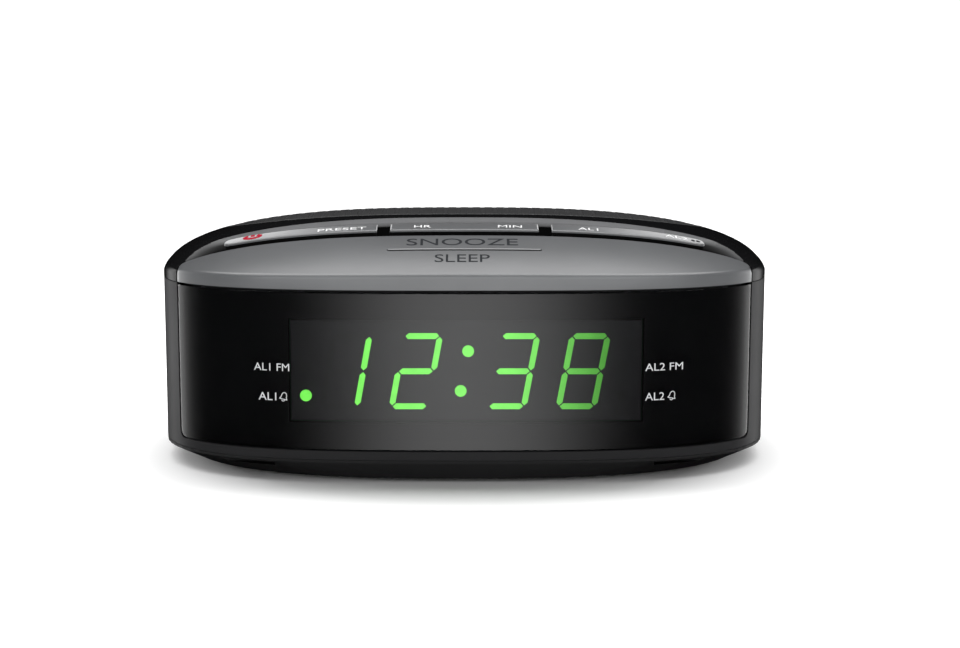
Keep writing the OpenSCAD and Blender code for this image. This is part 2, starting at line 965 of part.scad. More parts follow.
// ---------------------------------------------------------------- fasteners

module case_screws() color(steel) {
  both_sides()
    for (p = case_boss_xy)
      screw_up(p[0], p[1], 3.4, 2.8, 1.6, 1.25, 14);
}

module cover_screws() color(steel) {
  both_sides()
    for (p = cover_boss_xy)
      screw_up(p[0], p[1], parting_z - 3, 2.8, 1.6, 1.25, 7);
}

module key_board_screws() color(steel) {
  both_sides()
    for (p = key_boss_xy)
      screw_up(p[0], p[1], key_board_z, 2.2, 1.3, 0.95, 6.5);
}

module main_board_screws() color(steel) {
  both_sides()
    for (p = main_post_xy)
      translate([p[0], p[1], main_top_z])
        mirror([0, 0, 1])
          screw_up(0, 0, 0, 2.2, 1.3, 0.95, 6.5);
}

module display_board_screws() color(steel) {
  both_sides()
    for (z = [17, 45])
      translate([53.6, display_board_y + board_t, z])
        rotate([90, 0, 0])
          screw_up(0, 0, 0, 2.2, 1.3, 0.9, 4.6);
}

// ---------------------------------------------------------------- electronics

module on_board(x, y, w, d, h) {
  translate([x - w / 2, y - d / 2, main_top_z])
    cube([w, d, h]);
}

module tuner_shield() color(steel) {
  on_board(-40, 0, 26, 20, 5.5);
}

module chips() color(rubber_black) {
  on_board(4, -12, 18, 7.6, 2.4);
  on_board(38, -8, 10, 6.4, 2);
  on_board(-14, 14, 8, 8, 1.4);
}

module capacitors() color(rubber_black) {
  for (p = [[46, 6, 5, 14], [34, 4, 4, 11], [-52, -20, 3.2, 8], [-44, -22, 3.2, 8], [10, 4, 2.5, 6]])
    translate([p[0], p[1], main_top_z])
      cylinder(r = p[2], h = p[3], $fn = 32);
}

module crystal() color(steel) {
  translate([-12, -6, main_top_z])
    cylinder(r = 1.6, h = 6, $fn = 32);
}

module connectors() color(ivory) {
  // Display lead: one header on each board
  on_board(0, -31, 22, 4, 4.4);
  translate([-11, display_board_y + board_t, 29.3])
    cube([22, 3.2, 4]);
  // Key lead: one header on each board
  on_board(0, -23.6, 18, 4, 4.4);
  translate([-9, -25.6, key_board_z - 3])
    cube([18, 4, 3]);
  // Speaker and power leads
  on_board(24, speaker_y, 5, 8, 4.4);
  on_board(jack_x, 26, 8, 5, 4.4);
}

// A flat lead bent once through a quarter turn
module display_ribbon() color(satin_black) {
  bend_y = display_board_y + board_t + 3.2;
  bend_r = -31 - bend_y;
  top_z = main_top_z + 4.4;
  ribbon_t = 0.4;
  translate([-10, bend_y, top_z])
    rotate([90, 0, 90])
      intersection() {
        difference() {
          cylinder(r = bend_r, h = 20, $fn = 64);
          translate([0, 0, -1])
            cylinder(r = bend_r - ribbon_t, h = 22, $fn = 64);
        }
        cube([20, 20, 20]);
      }
}

module key_ribbon() color(satin_black) {
  translate([-8, -23.8, main_top_z + 4.4])
    cube([16, 0.4, key_board_z - 3 - main_top_z - 4.4]);
}

module speaker_leads() color(rubber_black) {
  for (s = [-1, 1])
    translate([24, speaker_y + 1.6 * s, main_top_z + 4.4])
      cylinder(r = 0.7, h = 51 - main_top_z - 4.4, $fn = 24);
}

// Two leads from the inlet, each bent through a quarter turn above the board
module jack_leads() color(rubber_black) {
  lead_r = 0.8;
  bend_r = 3;
  header_y = 26;
  lead_z = jack_z;
  top_z = main_top_z + 4.4;
  for (s = [-1, 1])
    translate([jack_x + 2 * s, 0, 0]) {
      bar_y(0, lead_z, lead_r, header_y + bend_r, jack_front_y);
      translate([0, header_y, top_z])
        cylinder(r = lead_r, h = lead_z - bend_r - top_z, $fn = 24);
      translate([0, header_y + bend_r, lead_z - bend_r])
        rotate([90, 0, 90])
          rotate_extrude(angle = 90, start = 90, $fn = 48)
            translate([bend_r, 0])
              circle(r = lead_r, $fn = 24);
    }
}

top_cover();
speaker_grille();
mid_housing();
base_pan();
front_lens();
display_module();
digits_lit();
digits_unlit();
indicator_dots();
display_board();
main_board();
key_board();
snooze_key();
snooze_pads();
key_left();
key_centre();
key_right();
key_pivot_pins();
key_pads();
speaker_frame();
speaker_magnet();
speaker_cone();
speaker_dust_cap();
speaker_screws();
dc_jack();
dc_pin();
battery_door();
backup_cells();
battery_contacts();
rubber_feet();
case_screws();
cover_screws();
key_board_screws();
main_board_screws();
display_board_screws();
tuner_shield();
chips();
capacitors();
crystal();
connectors();
display_ribbon();
key_ribbon();
speaker_leads();
jack_leads();
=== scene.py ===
"""Looks of the bedside clock radio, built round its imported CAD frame.

Lengths in the shape functions are millimetres in the row frame; meshes are made in metres.
"""

import math

import bmesh
import bpy
import numpy as np
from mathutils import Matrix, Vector
from mathutils.geometry import delaunay_2d_cdt


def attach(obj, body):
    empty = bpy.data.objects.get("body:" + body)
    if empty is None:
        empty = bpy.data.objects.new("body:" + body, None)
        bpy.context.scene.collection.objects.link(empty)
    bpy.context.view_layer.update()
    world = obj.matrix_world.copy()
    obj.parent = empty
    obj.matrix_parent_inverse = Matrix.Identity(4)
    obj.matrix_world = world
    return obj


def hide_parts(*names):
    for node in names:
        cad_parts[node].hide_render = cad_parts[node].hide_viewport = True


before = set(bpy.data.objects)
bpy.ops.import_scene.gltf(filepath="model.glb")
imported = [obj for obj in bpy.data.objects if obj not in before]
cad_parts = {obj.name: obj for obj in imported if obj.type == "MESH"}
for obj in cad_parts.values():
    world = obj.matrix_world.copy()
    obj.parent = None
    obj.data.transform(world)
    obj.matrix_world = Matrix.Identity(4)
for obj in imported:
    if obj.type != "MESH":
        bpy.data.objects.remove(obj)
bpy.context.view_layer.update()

MM = 0.001

# ---------- the case's shape

HALF_W = 90.0
HALF_D = 55.0
OUTLINE_POWER = 3.08
CREST_Z = 72.68
DOME_RADIUS = 113.2
SIDE_DROP = 17.06
SIDE_POWER = 2.73
PARTING_Z = 54.2
BASE_JOINT_Z = 6.3

LENS_HALF_W = 82.2
LENS_Z = (9.1, 53.6)
LENS_T = 2.1
LENS_CORNER_R = 2.2

SNOOZE_HALF_W = 82.3
SNOOZE_REAR_Y = -33.6
SNOOZE_SWEEP = 2.4
SNOOZE_SWEEP_X = 80
SNOOZE_CORNER = 1.8
SNOOZE_GAP = 0.4
SNOOZE_SKIRT_Z = 54.3
KEY_REAR_Y = -26.7
KEY_FRONT_GAP = 1.5
KEY_PROUD = 1.0
KEY_UNDER = 2.6
KEY_CLEARANCE = 0.3
CENTRE_KEY = (-21.4, 21.4)
SIDE_KEY = (25.1, 69.5)

CHANNEL_HALF_W = 80.6
CHANNEL_REAR_Y = -17.5
CHANNEL_REAR_R = 746.0
CHANNEL_DEPTH = 2.6
CHANNEL_SLOPE = 3.6
CHANNEL_END_SLOPE = 8.0
CHANNEL_CORNER_R = 10.0
CHANNEL_END_X = 64.0
CHANNEL_END_SPAN = 13.0

GRILLE_HALF_W = 74.0
GRILLE_HALF_D = 26.5
GRILLE_Y = 13.5
GRILLE_POWER = 4.0


def signed_pow(v, e):
    return math.copysign(abs(v) ** e, v)


def superellipse(a, b, n, count, centre_y=0.0):
    points = []
    for i in range(count):
        t = 2 * math.pi * i / count
        points.append((a * signed_pow(math.cos(t), 2 / n), centre_y + b * signed_pow(math.sin(t), 2 / n)))
    return points


def front_y(x, inset=0.0):
    """Y of the case's front wall at x, on the outline moved in by inset."""
    ratio = min(1.0, abs(x) / (HALF_W - inset))
    return -(HALF_D - inset) * (1 - ratio**OUTLINE_POWER) ** (1 / OUTLINE_POWER)


def side_fall(x):
    ratio = min(1.0, abs(x) / HALF_W)
    return SIDE_DROP * (1 - math.sqrt(max(0.0, 1 - ratio**SIDE_POWER)))


def dome_z(x, y, drop=0.0):
    """Height of the dome's surface lowered by drop."""
    r = DOME_RADIUS - side_fall(x) - drop
    return CREST_Z - DOME_RADIUS + math.sqrt(max(0.0, r * r - y * y))


def snooze_edge(x):
    """Rear edge of the snooze bar."""
    return SNOOZE_REAR_Y + SNOOZE_SWEEP * (abs(x) / SNOOZE_SWEEP_X) ** 4


def smoothstep(t):
    t = max(0.0, min(1.0, t))
    return t * t * (3 - 2 * t)


def channel_distance(x, y):
    """Distance inside the rim of the key channel, with its outer corners rounded."""
    behind = CHANNEL_REAR_Y - x * x / (2 * CHANNEL_REAR_R) - y
    beside = CHANNEL_HALF_W - abs(x)
    r = CHANNEL_CORNER_R
    if behind < r and beside < r:
        return r - math.hypot(r - behind, r - beside)
    return min(behind, beside)


def towards_end(x):
    """0 beside the keys and 1 at the outer ends of their channel."""
    return smoothstep((abs(x) - CHANNEL_END_X) / CHANNEL_END_SPAN)


def channel_fall(x, y):
    """Depth of the channel: steepest at its rim, then flattening to its floor."""
    width = CHANNEL_SLOPE + (CHANNEL_END_SLOPE - CHANNEL_SLOPE) * towards_end(x)
    t = max(0.0, min(1.0, channel_distance(x, y) / width))
    return CHANNEL_DEPTH * (1 - (1 - t) ** 2)


def channel_row(t, step):
    """Points at the distance t inside the channel's rim."""
    r = CHANNEL_CORNER_R
    row_end = 16.0
    offsets = [(t, CHANNEL_HALF_W - x) for x in np.arange(0.0, CHANNEL_HALF_W - r, step)]
    steps = int((r - t) * math.pi / 2 / step) + 1
    for k in range(steps + 1):
        a = math.pi / 2 * k / steps
        offsets.append((r - (r - t) * math.cos(a), r - (r - t) * math.sin(a)))
    offsets += [(behind, t) for behind in np.arange(r + step, row_end, step)]
    points = []
    for behind, beside in offsets:
        x = CHANNEL_HALF_W - beside
        y = CHANNEL_REAR_Y - x * x / (2 * CHANNEL_REAR_R) - behind
        points += [(x, y), (-x, y)]
    return points


# ---------- mesh helpers


def add_object(name, data):
    made = bpy.data.objects.new(name, data)
    bpy.context.scene.collection.objects.link(made)
    return made


def make_piece(name, parts, materials, body, sharp_deg=35.0):
    """One object from closed shells. A part is (points in mm, faces, material numbers or None)."""
    points = []
    faces = []
    numbers = []
    for part_points, part_faces, part_numbers in parts:
        start = len(points)
        points.extend(part_points)
        faces.extend([tuple(i + start for i in f) for f in part_faces])
        numbers.extend(part_numbers or [0] * len(part_faces))
    mesh = bpy.data.meshes.new(name)
    mesh.from_pydata([tuple(c * MM for c in p) for p in points], [], faces)
    mesh.polygons.foreach_set("material_index", numbers)
    work = bmesh.new()
    work.from_mesh(mesh)
    bmesh.ops.recalc_face_normals(work, faces=work.faces)
    work.to_mesh(mesh)
    work.free()
    mesh.shade_smooth()
    mesh.set_sharp_from_angle(angle=math.radians(sharp_deg))
    for m in materials:
        mesh.materials.append(m)
    piece = add_object(name, mesh)
    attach(piece, body)
    return piece


def offset_loop(loop, distances):
    """A closed loop moved to its left, each point by its own distance."""
    n = len(loop)
    moved = []
    for i in range(n):
        ax, ay = loop[i - 1]
        bx, by = loop[i]
        cx, cy = loop[(i + 1) % n]
        ux, uy = bx - ax, by - ay
        vx, vy = cx - bx, cy - by
        lu = math.hypot(ux, uy)
        lv = math.hypot(vx, vy)
        nx = -uy / lu - vy / lv
        ny = ux / lu + vx / lv
        ln = math.hypot(nx, ny)
        scale = distances[i] / max(0.5 * ln, 0.35) / ln
        moved.append((bx + nx * scale, by + ny * scale))
    return moved


def signed_area(loop):
    n = len(loop)
    return 0.5 * sum(loop[i][0] * loop[(i + 1) % n][1] - loop[(i + 1) % n][0] * loop[i][1] for i in range(n))


def resample(loop, step):
    """The closed loop with points added so that no edge is longer than step."""
    dense = []
    for i, (ax, ay) in enumerate(loop):
        bx, by = loop[(i + 1) % len(loop)]
        pieces = max(1, math.ceil(math.hypot(bx - ax, by - ay) / step))
        for k in range(pieces):
            dense.append((ax + (bx - ax) * k / pieces, ay + (by - ay) * k / pieces))
    return dense


def without_repeats(loop):
    """The loop without the points that nearly repeat the one before."""
    kept = []
    for p in loop:
        if not kept or math.hypot(p[0] - kept[-1][0], p[1] - kept[-1][1]) > 0.02:
            kept.append(p)
    return kept


def rectangle(x0, x1, y0, y1):
    return [(x0, y0), (x1, y0), (x1, y1), (x0, y1)]


def arc(cx, cy, rx, ry, start, end, steps):
    """Points of an ellipse's arc, with its angles in degrees."""
    points = []
    for k in range(steps + 1):
        a = math.radians(start + (end - start) * k / steps)
        points.append((cx + rx * math.cos(a), cy + ry * math.sin(a)))
    return points


def inside(points, loops):
    """Even-odd test of many points against closed loops."""
    px = points[:, 0]
    py = points[:, 1]
    odd = np.zeros(len(points), bool)
    for loop in loops:
        n = len(loop)
        for i in range(n):
            ax, ay = loop[i]
            bx, by = loop[(i + 1) % n]
            if ay == by:
                continue
            crosses = (ay > py) != (by > py)
            odd ^= crosses & (px < (bx - ax) * (py - ay) / (by - ay) + ax)
    return odd


def grid(x0, x1, y0, y1, step):
    """Points of a triangular grid."""
    points = []
    row_gap = step * 0.866
    rows = int((y1 - y0) / row_gap) + 1
    columns = int((x1 - x0) / step) + 1
    for j in range(rows):
        for i in range(columns):
            points.append((x0 + (i + 0.5 * (j % 2)) * step, y0 + j * row_gap))
    return points


FILLET_STEPS = 4
FLAT_RING_INSET = 1.35


def plate(outer, holes, top, under, spots, clear, outer_r=0.05, hole_r=0.05, tint=None):
    """A closed plate over a plan with holes, its upper edges rounded.

    top(u, v, depth) and under(u, v) give points in space. spots are points wanted inside the plan, and
    those nearer to an edge than clear are dropped. Radii are numbers or functions of (u, v).
    tint(u, v) gives a face's material number.
    """
    loops = []
    for loop, radius, wanted_sign in [(outer, outer_r, 1)] + [(h, hole_r, -1) for h in holes]:
        if signed_area(loop) * wanted_sign < 0:
            loop = loop[::-1]
        radii = [radius(*p) if callable(radius) else radius for p in loop]
        loops.append((loop, radii))
    angles = [math.pi / 2 * k / FILLET_STEPS for k in range(FILLET_STEPS + 1)]
    flat = []
    depths = []
    rings = []
    for loop, radii in loops:
        loop_rings = []
        levels = [(1 - math.cos(a), 1 - math.sin(a)) for a in angles] + [(FLAT_RING_INSET, 0.0)]
        for inset, depth in levels:
            start = len(flat)
            flat.extend(offset_loop(loop, [r * inset for r in radii]) if inset else list(loop))
            depths.extend([r * depth for r in radii])
            loop_rings.append(range(start, len(flat)))
        rings.append(loop_rings)
    inner = [[flat[i] for i in loop_rings[-1]] for loop_rings in rings]
    edge_points = np.array([p for loop in inner for p in loop])
    candidates = np.array(spots)
    keep = inside(candidates, inner)
    candidates = candidates[keep]
    near = np.full(len(candidates), np.inf)
    block = 400
    for start in range(0, len(edge_points), block):
        part = edge_points[start : start + block]
        gaps = np.hypot(candidates[:, None, 0] - part[None, :, 0], candidates[:, None, 1] - part[None, :, 1])
        near = np.minimum(near, gaps.min(1))
    candidates = candidates[near > clear]
    names = []
    edges = []
    for loop_rings in rings:
        first = len(names)
        ring = loop_rings[-1]
        names.extend(ring)
        edges.extend([(first + i, first + (i + 1) % len(ring)) for i in range(len(ring))])
    names.extend(range(len(flat), len(flat) + len(candidates)))
    flat.extend([tuple(p) for p in candidates])
    depths.extend([0.0] * len(candidates))
    seen, _, triangles, origins, _, _ = delaunay_2d_cdt([Vector(flat[i]) for i in names], edges, [], 0, 1e-6)
    to_flat = []
    for k, ids in enumerate(origins):
        if ids:
            to_flat.append(names[ids[0]])
        else:
            to_flat.append(len(flat))
            flat.append((seen[k][0], seen[k][1]))
            depths.append(0.0)
    centres = np.array([[sum(seen[i][c] for i in t) / len(t) for c in (0, 1)] for t in triangles])
    kept = inside(centres, inner)
    plan_faces = [tuple(to_flat[i] for i in t) for t, ok in zip(triangles, kept) if ok]
    for loop_rings in rings:
        for a, b in zip(loop_rings, loop_rings[1:]):
            n = len(a)
            plan_faces.extend([(a[i], a[(i + 1) % n], b[(i + 1) % n], b[i]) for i in range(n)])
    count = len(flat)
    points = [top(u, v, d) for (u, v), d in zip(flat, depths)]
    points += [under(u, v) for u, v in flat]
    faces = list(plan_faces)
    faces += [tuple(i + count for i in reversed(f)) for f in plan_faces]
    numbers = []
    for f in plan_faces:
        u = sum(flat[i][0] for i in f) / len(f)
        v = sum(flat[i][1] for i in f) / len(f)
        numbers.append(tint(u, v) if tint else 0)
    numbers += [0] * len(plan_faces)
    for loop_rings in rings:
        ring = loop_rings[0]
        n = len(ring)
        walls = [(ring[i], ring[i] + count, ring[(i + 1) % n] + count, ring[(i + 1) % n]) for i in range(n)]
        faces += walls
        numbers += [0] * n
    return points, faces, numbers


def tube(rings, close_ends=True):
    """Closed skin through rings of equal point counts."""
    n = len(rings[0])
    points = [p for ring in rings for p in ring]
    faces = []
    for k in range(len(rings) - 1):
        a = k * n
        b = a + n
        faces.extend([(a + i, a + (i + 1) % n, b + (i + 1) % n, b + i) for i in range(n)])
    if close_ends:
        faces.append(tuple(range(n))[::-1])
        faces.append(tuple(range((len(rings) - 1) * n, len(rings) * n)))
    return points, faces, None


# ---------- materials


class Nodes:
    """Short calls for building one material's node tree."""

    def __init__(self, name):
        self.material = bpy.data.materials.new(name)
        self.material.use_nodes = True
        self.tree = self.material.node_tree
        self.tree.nodes.clear()
        self.output = self.tree.nodes.new("ShaderNodeOutputMaterial")
        self.position = self.add("ShaderNodeTexCoord").outputs["Object"]

    def add(self, kind, **values):
        made = self.tree.nodes.new(kind)
        for key, value in values.items():
            if key in made.inputs:
                self.put(made.inputs[key], value)
            else:
                setattr(made, key, value)
        return made

    def put(self, socket, value):
        if isinstance(value, bpy.types.NodeSocket):
            self.tree.links.new(value, socket)
        else:
            socket.default_value = value

    def noise(self, scale, detail=2.0):
        made = self.add("ShaderNodeTexNoise", Scale=scale, Detail=detail)
        self.put(made.inputs["Vector"], self.position)
        return made.outputs["Fac"]

    def spread(self, value, low, high, start=0.3, end=0.7):
        made = self.add("ShaderNodeMapRange")
        self.put(made.inputs["Value"], value)
        for key, number in (("From Min", start), ("From Max", end), ("To Min", low), ("To Max", high)):
            made.inputs[key].default_value = number
        return made.outputs["Result"]

    def math(self, operation, *values):
        made = self.add("ShaderNodeMath", operation=operation)
        for socket, value in zip(made.inputs, values):
            self.put(socket, value)
        return made.outputs["Value"]

    def along(self, axis):
        split = self.add("ShaderNodeSeparateXYZ")
        self.put(split.inputs["Vector"], self.position)
        return split.outputs[axis]

    def mix_shader(self, fac, a, b):
        made = self.add("ShaderNodeMixShader")
        for socket, value in zip(made.inputs, (fac, a, b)):
            self.put(socket, value)
        return made.outputs["Shader"]

    def mix_colour(self, fac, a, b):
        made = self.add("ShaderNodeMix", data_type="RGBA")
        self.put(made.inputs[0], fac)
        self.put(made.inputs[6], a)
        self.put(made.inputs[7], b)
        return made.outputs[2]

    def bump(self, height, strength, distance):
        made = self.add("ShaderNodeBump", Strength=strength, Distance=distance)
        self.put(made.inputs["Height"], height)
        return made.outputs["Normal"]

    def finish(self, shader):
        self.tree.links.new(shader, self.output.inputs["Surface"])
        return self.material


def rgba(colour, scale=1.0):
    return (colour[0] * scale, colour[1] * scale, colour[2] * scale, 1.0)


def moulded(
    name, colour, rough, grain=2600.0, grain_depth=0.00001, uneven=0.02, wear=0.25, coat=0.0, shine=0.5
):
    """Moulded plastic: fine grain, slight colour and gloss variation, and edges made paler by wear."""
    n = Nodes(name)
    cloud = n.noise(38.0, 3.0)
    fine = n.noise(grain, 2.0)
    tone = n.mix_colour(n.spread(cloud, 0.0, 1.0), rgba(colour, 0.93), rgba(colour, 1.07))
    pointed = n.add("ShaderNodeNewGeometry").outputs["Pointiness"]
    worn = n.spread(pointed, 0.0, wear, 0.53, 0.62)
    pale = tuple(min(1.0, c * 1.5 + 0.03) for c in colour)
    tone = n.mix_colour(worn, tone, rgba(pale))
    shader = n.add("ShaderNodeBsdfPrincipled")
    n.put(shader.inputs["Base Color"], tone)
    n.put(shader.inputs["Roughness"], n.spread(n.noise(45.0, 1.5), rough - uneven, rough + uneven))
    n.put(shader.inputs["Normal"], n.bump(fine, 0.35, grain_depth))
    shader.inputs["Specular IOR Level"].default_value = shine
    shader.inputs["Coat Weight"].default_value = coat
    shader.inputs["Coat Roughness"].default_value = 0.06
    return n.finish(shader.outputs["BSDF"])


def brushed_metal(name, colour, rough):
    n = Nodes(name)
    stretched = n.add("ShaderNodeMapping")
    n.put(stretched.inputs["Vector"], n.position)
    stretched.inputs["Scale"].default_value = (300.0, 300.0, 4000.0)
    lines = n.add("ShaderNodeTexNoise", Scale=1.0, Detail=3.0)
    n.put(lines.inputs["Vector"], stretched.outputs["Vector"])
    shader = n.add("ShaderNodeBsdfPrincipled", Metallic=1.0)
    streak = lines.outputs["Fac"]
    n.put(shader.inputs["Base Color"], n.mix_colour(streak, rgba(colour, 0.8), rgba(colour, 1.1)))
    n.put(shader.inputs["Roughness"], n.spread(streak, rough - 0.08, rough + 0.12))
    n.put(shader.inputs["Normal"], n.bump(streak, 0.2, 0.00002))
    return n.finish(shader.outputs["BSDF"])


def tinted_lens(name):
    """Smoked acrylic: light passes dimmed once per crossing, and the outer face mirrors the room."""
    n = Nodes(name)
    smoke = n.mix_colour(n.noise(60.0, 2.0), (0.36, 0.36, 0.37, 1.0), (0.40, 0.40, 0.41, 1.0))
    through = n.add("ShaderNodeBsdfTransparent")
    n.put(through.inputs["Color"], smoke)
    clear = n.add("ShaderNodeBsdfTransparent")
    gloss = n.add("ShaderNodeBsdfGlossy")
    gloss.inputs["Color"].default_value = (1.0, 1.0, 1.0, 1.0)
    n.put(gloss.inputs["Roughness"], n.spread(n.noise(90.0, 3.0), 0.01, 0.03))
    fresnel = n.add("ShaderNodeFresnel", IOR=1.52)
    front = n.mix_shader(fresnel.outputs["Fac"], through.outputs["BSDF"], gloss.outputs["BSDF"])
    backfacing = n.add("ShaderNodeNewGeometry").outputs["Backfacing"]
    return n.finish(n.mix_shader(backfacing, front, clear.outputs["BSDF"]))


def glowing(name, colour, left_strength, right_strength, reach):
    """Lit diffuser: brighter at the left end of the display than at the right end."""
    n = Nodes(name)
    across = n.spread(n.along("X"), left_strength, right_strength, reach[0], reach[1])
    mottled = n.math("MULTIPLY", across, n.spread(n.noise(420.0, 2.0), 0.93, 1.07))
    shader = n.add("ShaderNodeBsdfPrincipled", Roughness=0.5)
    shader.inputs["Base Color"].default_value = rgba(colour, 0.5)
    shader.inputs["Emission Color"].default_value = rgba(colour)
    n.put(shader.inputs["Emission Strength"], mottled)
    return n.finish(shader.outputs["BSDF"])


def printed(name, colour, rough=0.7):
    """Ink with a slightly uneven surface."""
    n = Nodes(name)
    shader = n.add("ShaderNodeBsdfPrincipled", Roughness=rough)
    shader.inputs["Specular IOR Level"].default_value = 0.1
    tone = n.mix_colour(n.noise(900.0, 2.0), rgba(colour, 0.9), rgba(colour, 1.1))
    n.put(shader.inputs["Base Color"], tone)
    n.put(shader.inputs["Normal"], n.bump(n.noise(3000.0), 0.2, 0.000005))
    return n.finish(shader.outputs["BSDF"])


def channel_plastic_with_painted_shade(name):
    """Semi-gloss grey near the rim of the key channel that darkens to black on its floor; the black is
    painted shade in the channel's recess.
    """
    n = Nodes(name)
    share = n.add("ShaderNodeAttribute", attribute_name="channel_share").outputs["Fac"]
    clouded = n.math("MULTIPLY", share, n.spread(n.noise(60.0, 3.0), 0.93, 1.07))
    shader = n.add("ShaderNodeBsdfPrincipled")
    colour = n.mix_colour(clouded, (0.002, 0.002, 0.002, 1.0), (0.19, 0.192, 0.197, 1.0))
    n.put(shader.inputs["Base Color"], colour)
    # The mirror-like gloss fades with the grey share too: painted shade on the channel's floor.
    n.put(shader.inputs["Specular IOR Level"], n.spread(share, 0.0, 0.5, 0.0, 1.0))
    n.put(shader.inputs["Roughness"], n.spread(n.noise(120.0, 4.0), 0.26, 0.34))
    n.put(shader.inputs["Normal"], n.bump(n.noise(2600.0), 0.3, 0.000005))
    return n.finish(shader.outputs["BSDF"])


channel_grey_and_painted_shade = channel_plastic_with_painted_shade("channel_grey_and_painted_shade")
gloss_black = moulded("gloss_black", (0.006, 0.006, 0.0065), 0.2, grain_depth=0.000002, wear=0.0, shine=0.06)
satin_black = moulded("satin_black", (0.021, 0.021, 0.022), 0.42, grain_depth=0.00001, shine=0.07)
base_black = moulded("base_black", (0.011, 0.011, 0.0115), 0.5, grain_depth=0.00002, shine=0.12)
rib_black = moulded("rib_black", (0.03, 0.03, 0.031), 0.4, grain_depth=0.00001, wear=0.0, shine=0.35)
snooze_grey = moulded("snooze_grey", (0.098, 0.101, 0.105), 0.3, grain_depth=0.000008, uneven=0.012, wear=0.0)
key_grey = moulded("key_grey", (0.10, 0.102, 0.106), 0.3, grain_depth=0.000008, uneven=0.012, wear=0.0)
painted_shade_black = moulded("painted_shade_black", (0.004, 0.004, 0.004), 0.7, grain_depth=0.000002, wear=0.0, shine=0.02)
panel_black = moulded("panel_black", (0.02, 0.02, 0.021), 0.6, grain_depth=0.000001, wear=0.0, shine=0.05)
screen_cloth = moulded("screen_cloth", (0.026, 0.026, 0.027), 0.8, 1800.0, 0.00004, shine=0.1)
dark_lens = tinted_lens("dark_lens")
display_face = moulded("display_face", (0.055, 0.056, 0.058), 0.6, uneven=0.05, wear=0.0)
unlit_face = moulded("unlit_face", (0.05, 0.052, 0.05), 0.6, wear=0.0)
led_green = glowing("led_green", (0.22, 1.0, 0.11), 2.3, 0.6, (0.012, 0.04))
pcb = moulded("pcb", (0.02, 0.11, 0.045), 0.4, grain=500.0, grain_depth=0.00003, coat=0.3)
steel = brushed_metal("steel", (0.6, 0.6, 0.61), 0.3)
ivory = moulded("ivory", (0.7, 0.66, 0.52), 0.45)
rubber = moulded("rubber", (0.02, 0.02, 0.02), 0.8, grain=1500.0, grain_depth=0.00005)
silicone = moulded("silicone", (0.3, 0.32, 0.34), 0.55)
paper_cone = moulded("paper_cone", (0.035, 0.033, 0.03), 0.9, grain=700.0, grain_depth=0.00012)
black_part = moulded("black_part", (0.02, 0.02, 0.021), 0.5)
cell_wrap = moulded("cell_wrap", (0.05, 0.12, 0.25), 0.35, coat=0.4)
white_ink = printed("white_ink", (0.8, 0.8, 0.8))
soft_white_ink = printed("soft_white_ink", (0.55, 0.56, 0.57))
dark_ink = printed("dark_ink", (0.02, 0.022, 0.025))
red_ink = printed("red_ink", (0.36, 0.002, 0.02))

# ---------- top cover

EDGE_STEP = 1.6
COVER_WALL = 1.9
COVER_GAP = 0.12
COVER_RIM_R = 0.9
COVER_HOLE_R = 0.12
SHELF_HALF_W = 76
SHELF_FRONT_Y = -37.5
SHELF_DEPTHS = (2.8, 4.2)
KEY_BAND_W = 1.3
END_BAND_W = 0.4
END_SHARE = 0.27
END_FADE = 0.75
KEY_ROUND = 2.0
KEY_STEP = 1.5


def key_loop(x0, x1, grow, round_end):
    """Plan of a rocker key: its front follows the snooze bar, and its outer end is rounded."""
    steps = 24
    front = []
    for i in range(steps + 1):
        x = x0 - grow + (x1 - x0 + 2 * grow) * i / steps
        front.append((x, snooze_edge(x) + KEY_FRONT_GAP - grow))
    inner_rear = (x0 - grow, KEY_REAR_Y + grow)
    if not round_end:
        return resample(front + [(x1 + grow, KEY_REAR_Y + grow), inner_rear], KEY_STEP)
    r = KEY_ROUND + grow
    centre_x = x1 - KEY_ROUND
    loop = [p for p in front if p[0] < centre_x]
    loop += arc(centre_x, snooze_edge(x1) + KEY_FRONT_GAP + KEY_ROUND, r, r, -90, 0, 8)
    loop += arc(centre_x, KEY_REAR_Y - KEY_ROUND, r, r, 0, 90, 8)
    return resample(without_repeats(loop + [inner_rear]), KEY_STEP)


def mirrored(loop):
    return [(-x, y) for x, y in loop][::-1]


key_loops = {
    "key_left": lambda grow: mirrored(key_loop(*SIDE_KEY, grow, True)),
    "key_centre": lambda grow: key_loop(*CENTRE_KEY, grow, False),
    "key_right": lambda grow: key_loop(*SIDE_KEY, grow, True),
}


def arc_between(x_start, x_end, count, inset=0.0):
    """Front outline points from x_start to x_end, closer together towards the ends."""
    t0 = math.asin(x_start / (HALF_W - inset))
    t1 = math.asin(x_end / (HALF_W - inset))
    points = []
    for i in range(count + 1):
        x = (HALF_W - inset) * math.sin(t0 + (t1 - t0) * i / count)
        points.append((x, front_y(x, inset)))
    return points


def snooze_corner(grow):
    """Rounded rear corner at the snooze bar's right end, from the end towards the rear."""
    centre_x = SNOOZE_HALF_W - SNOOZE_CORNER
    centre_y = snooze_edge(centre_x) - SNOOZE_CORNER
    r = SNOOZE_CORNER + grow
    return arc(centre_x, centre_y, r, r, 0, 90, 8)


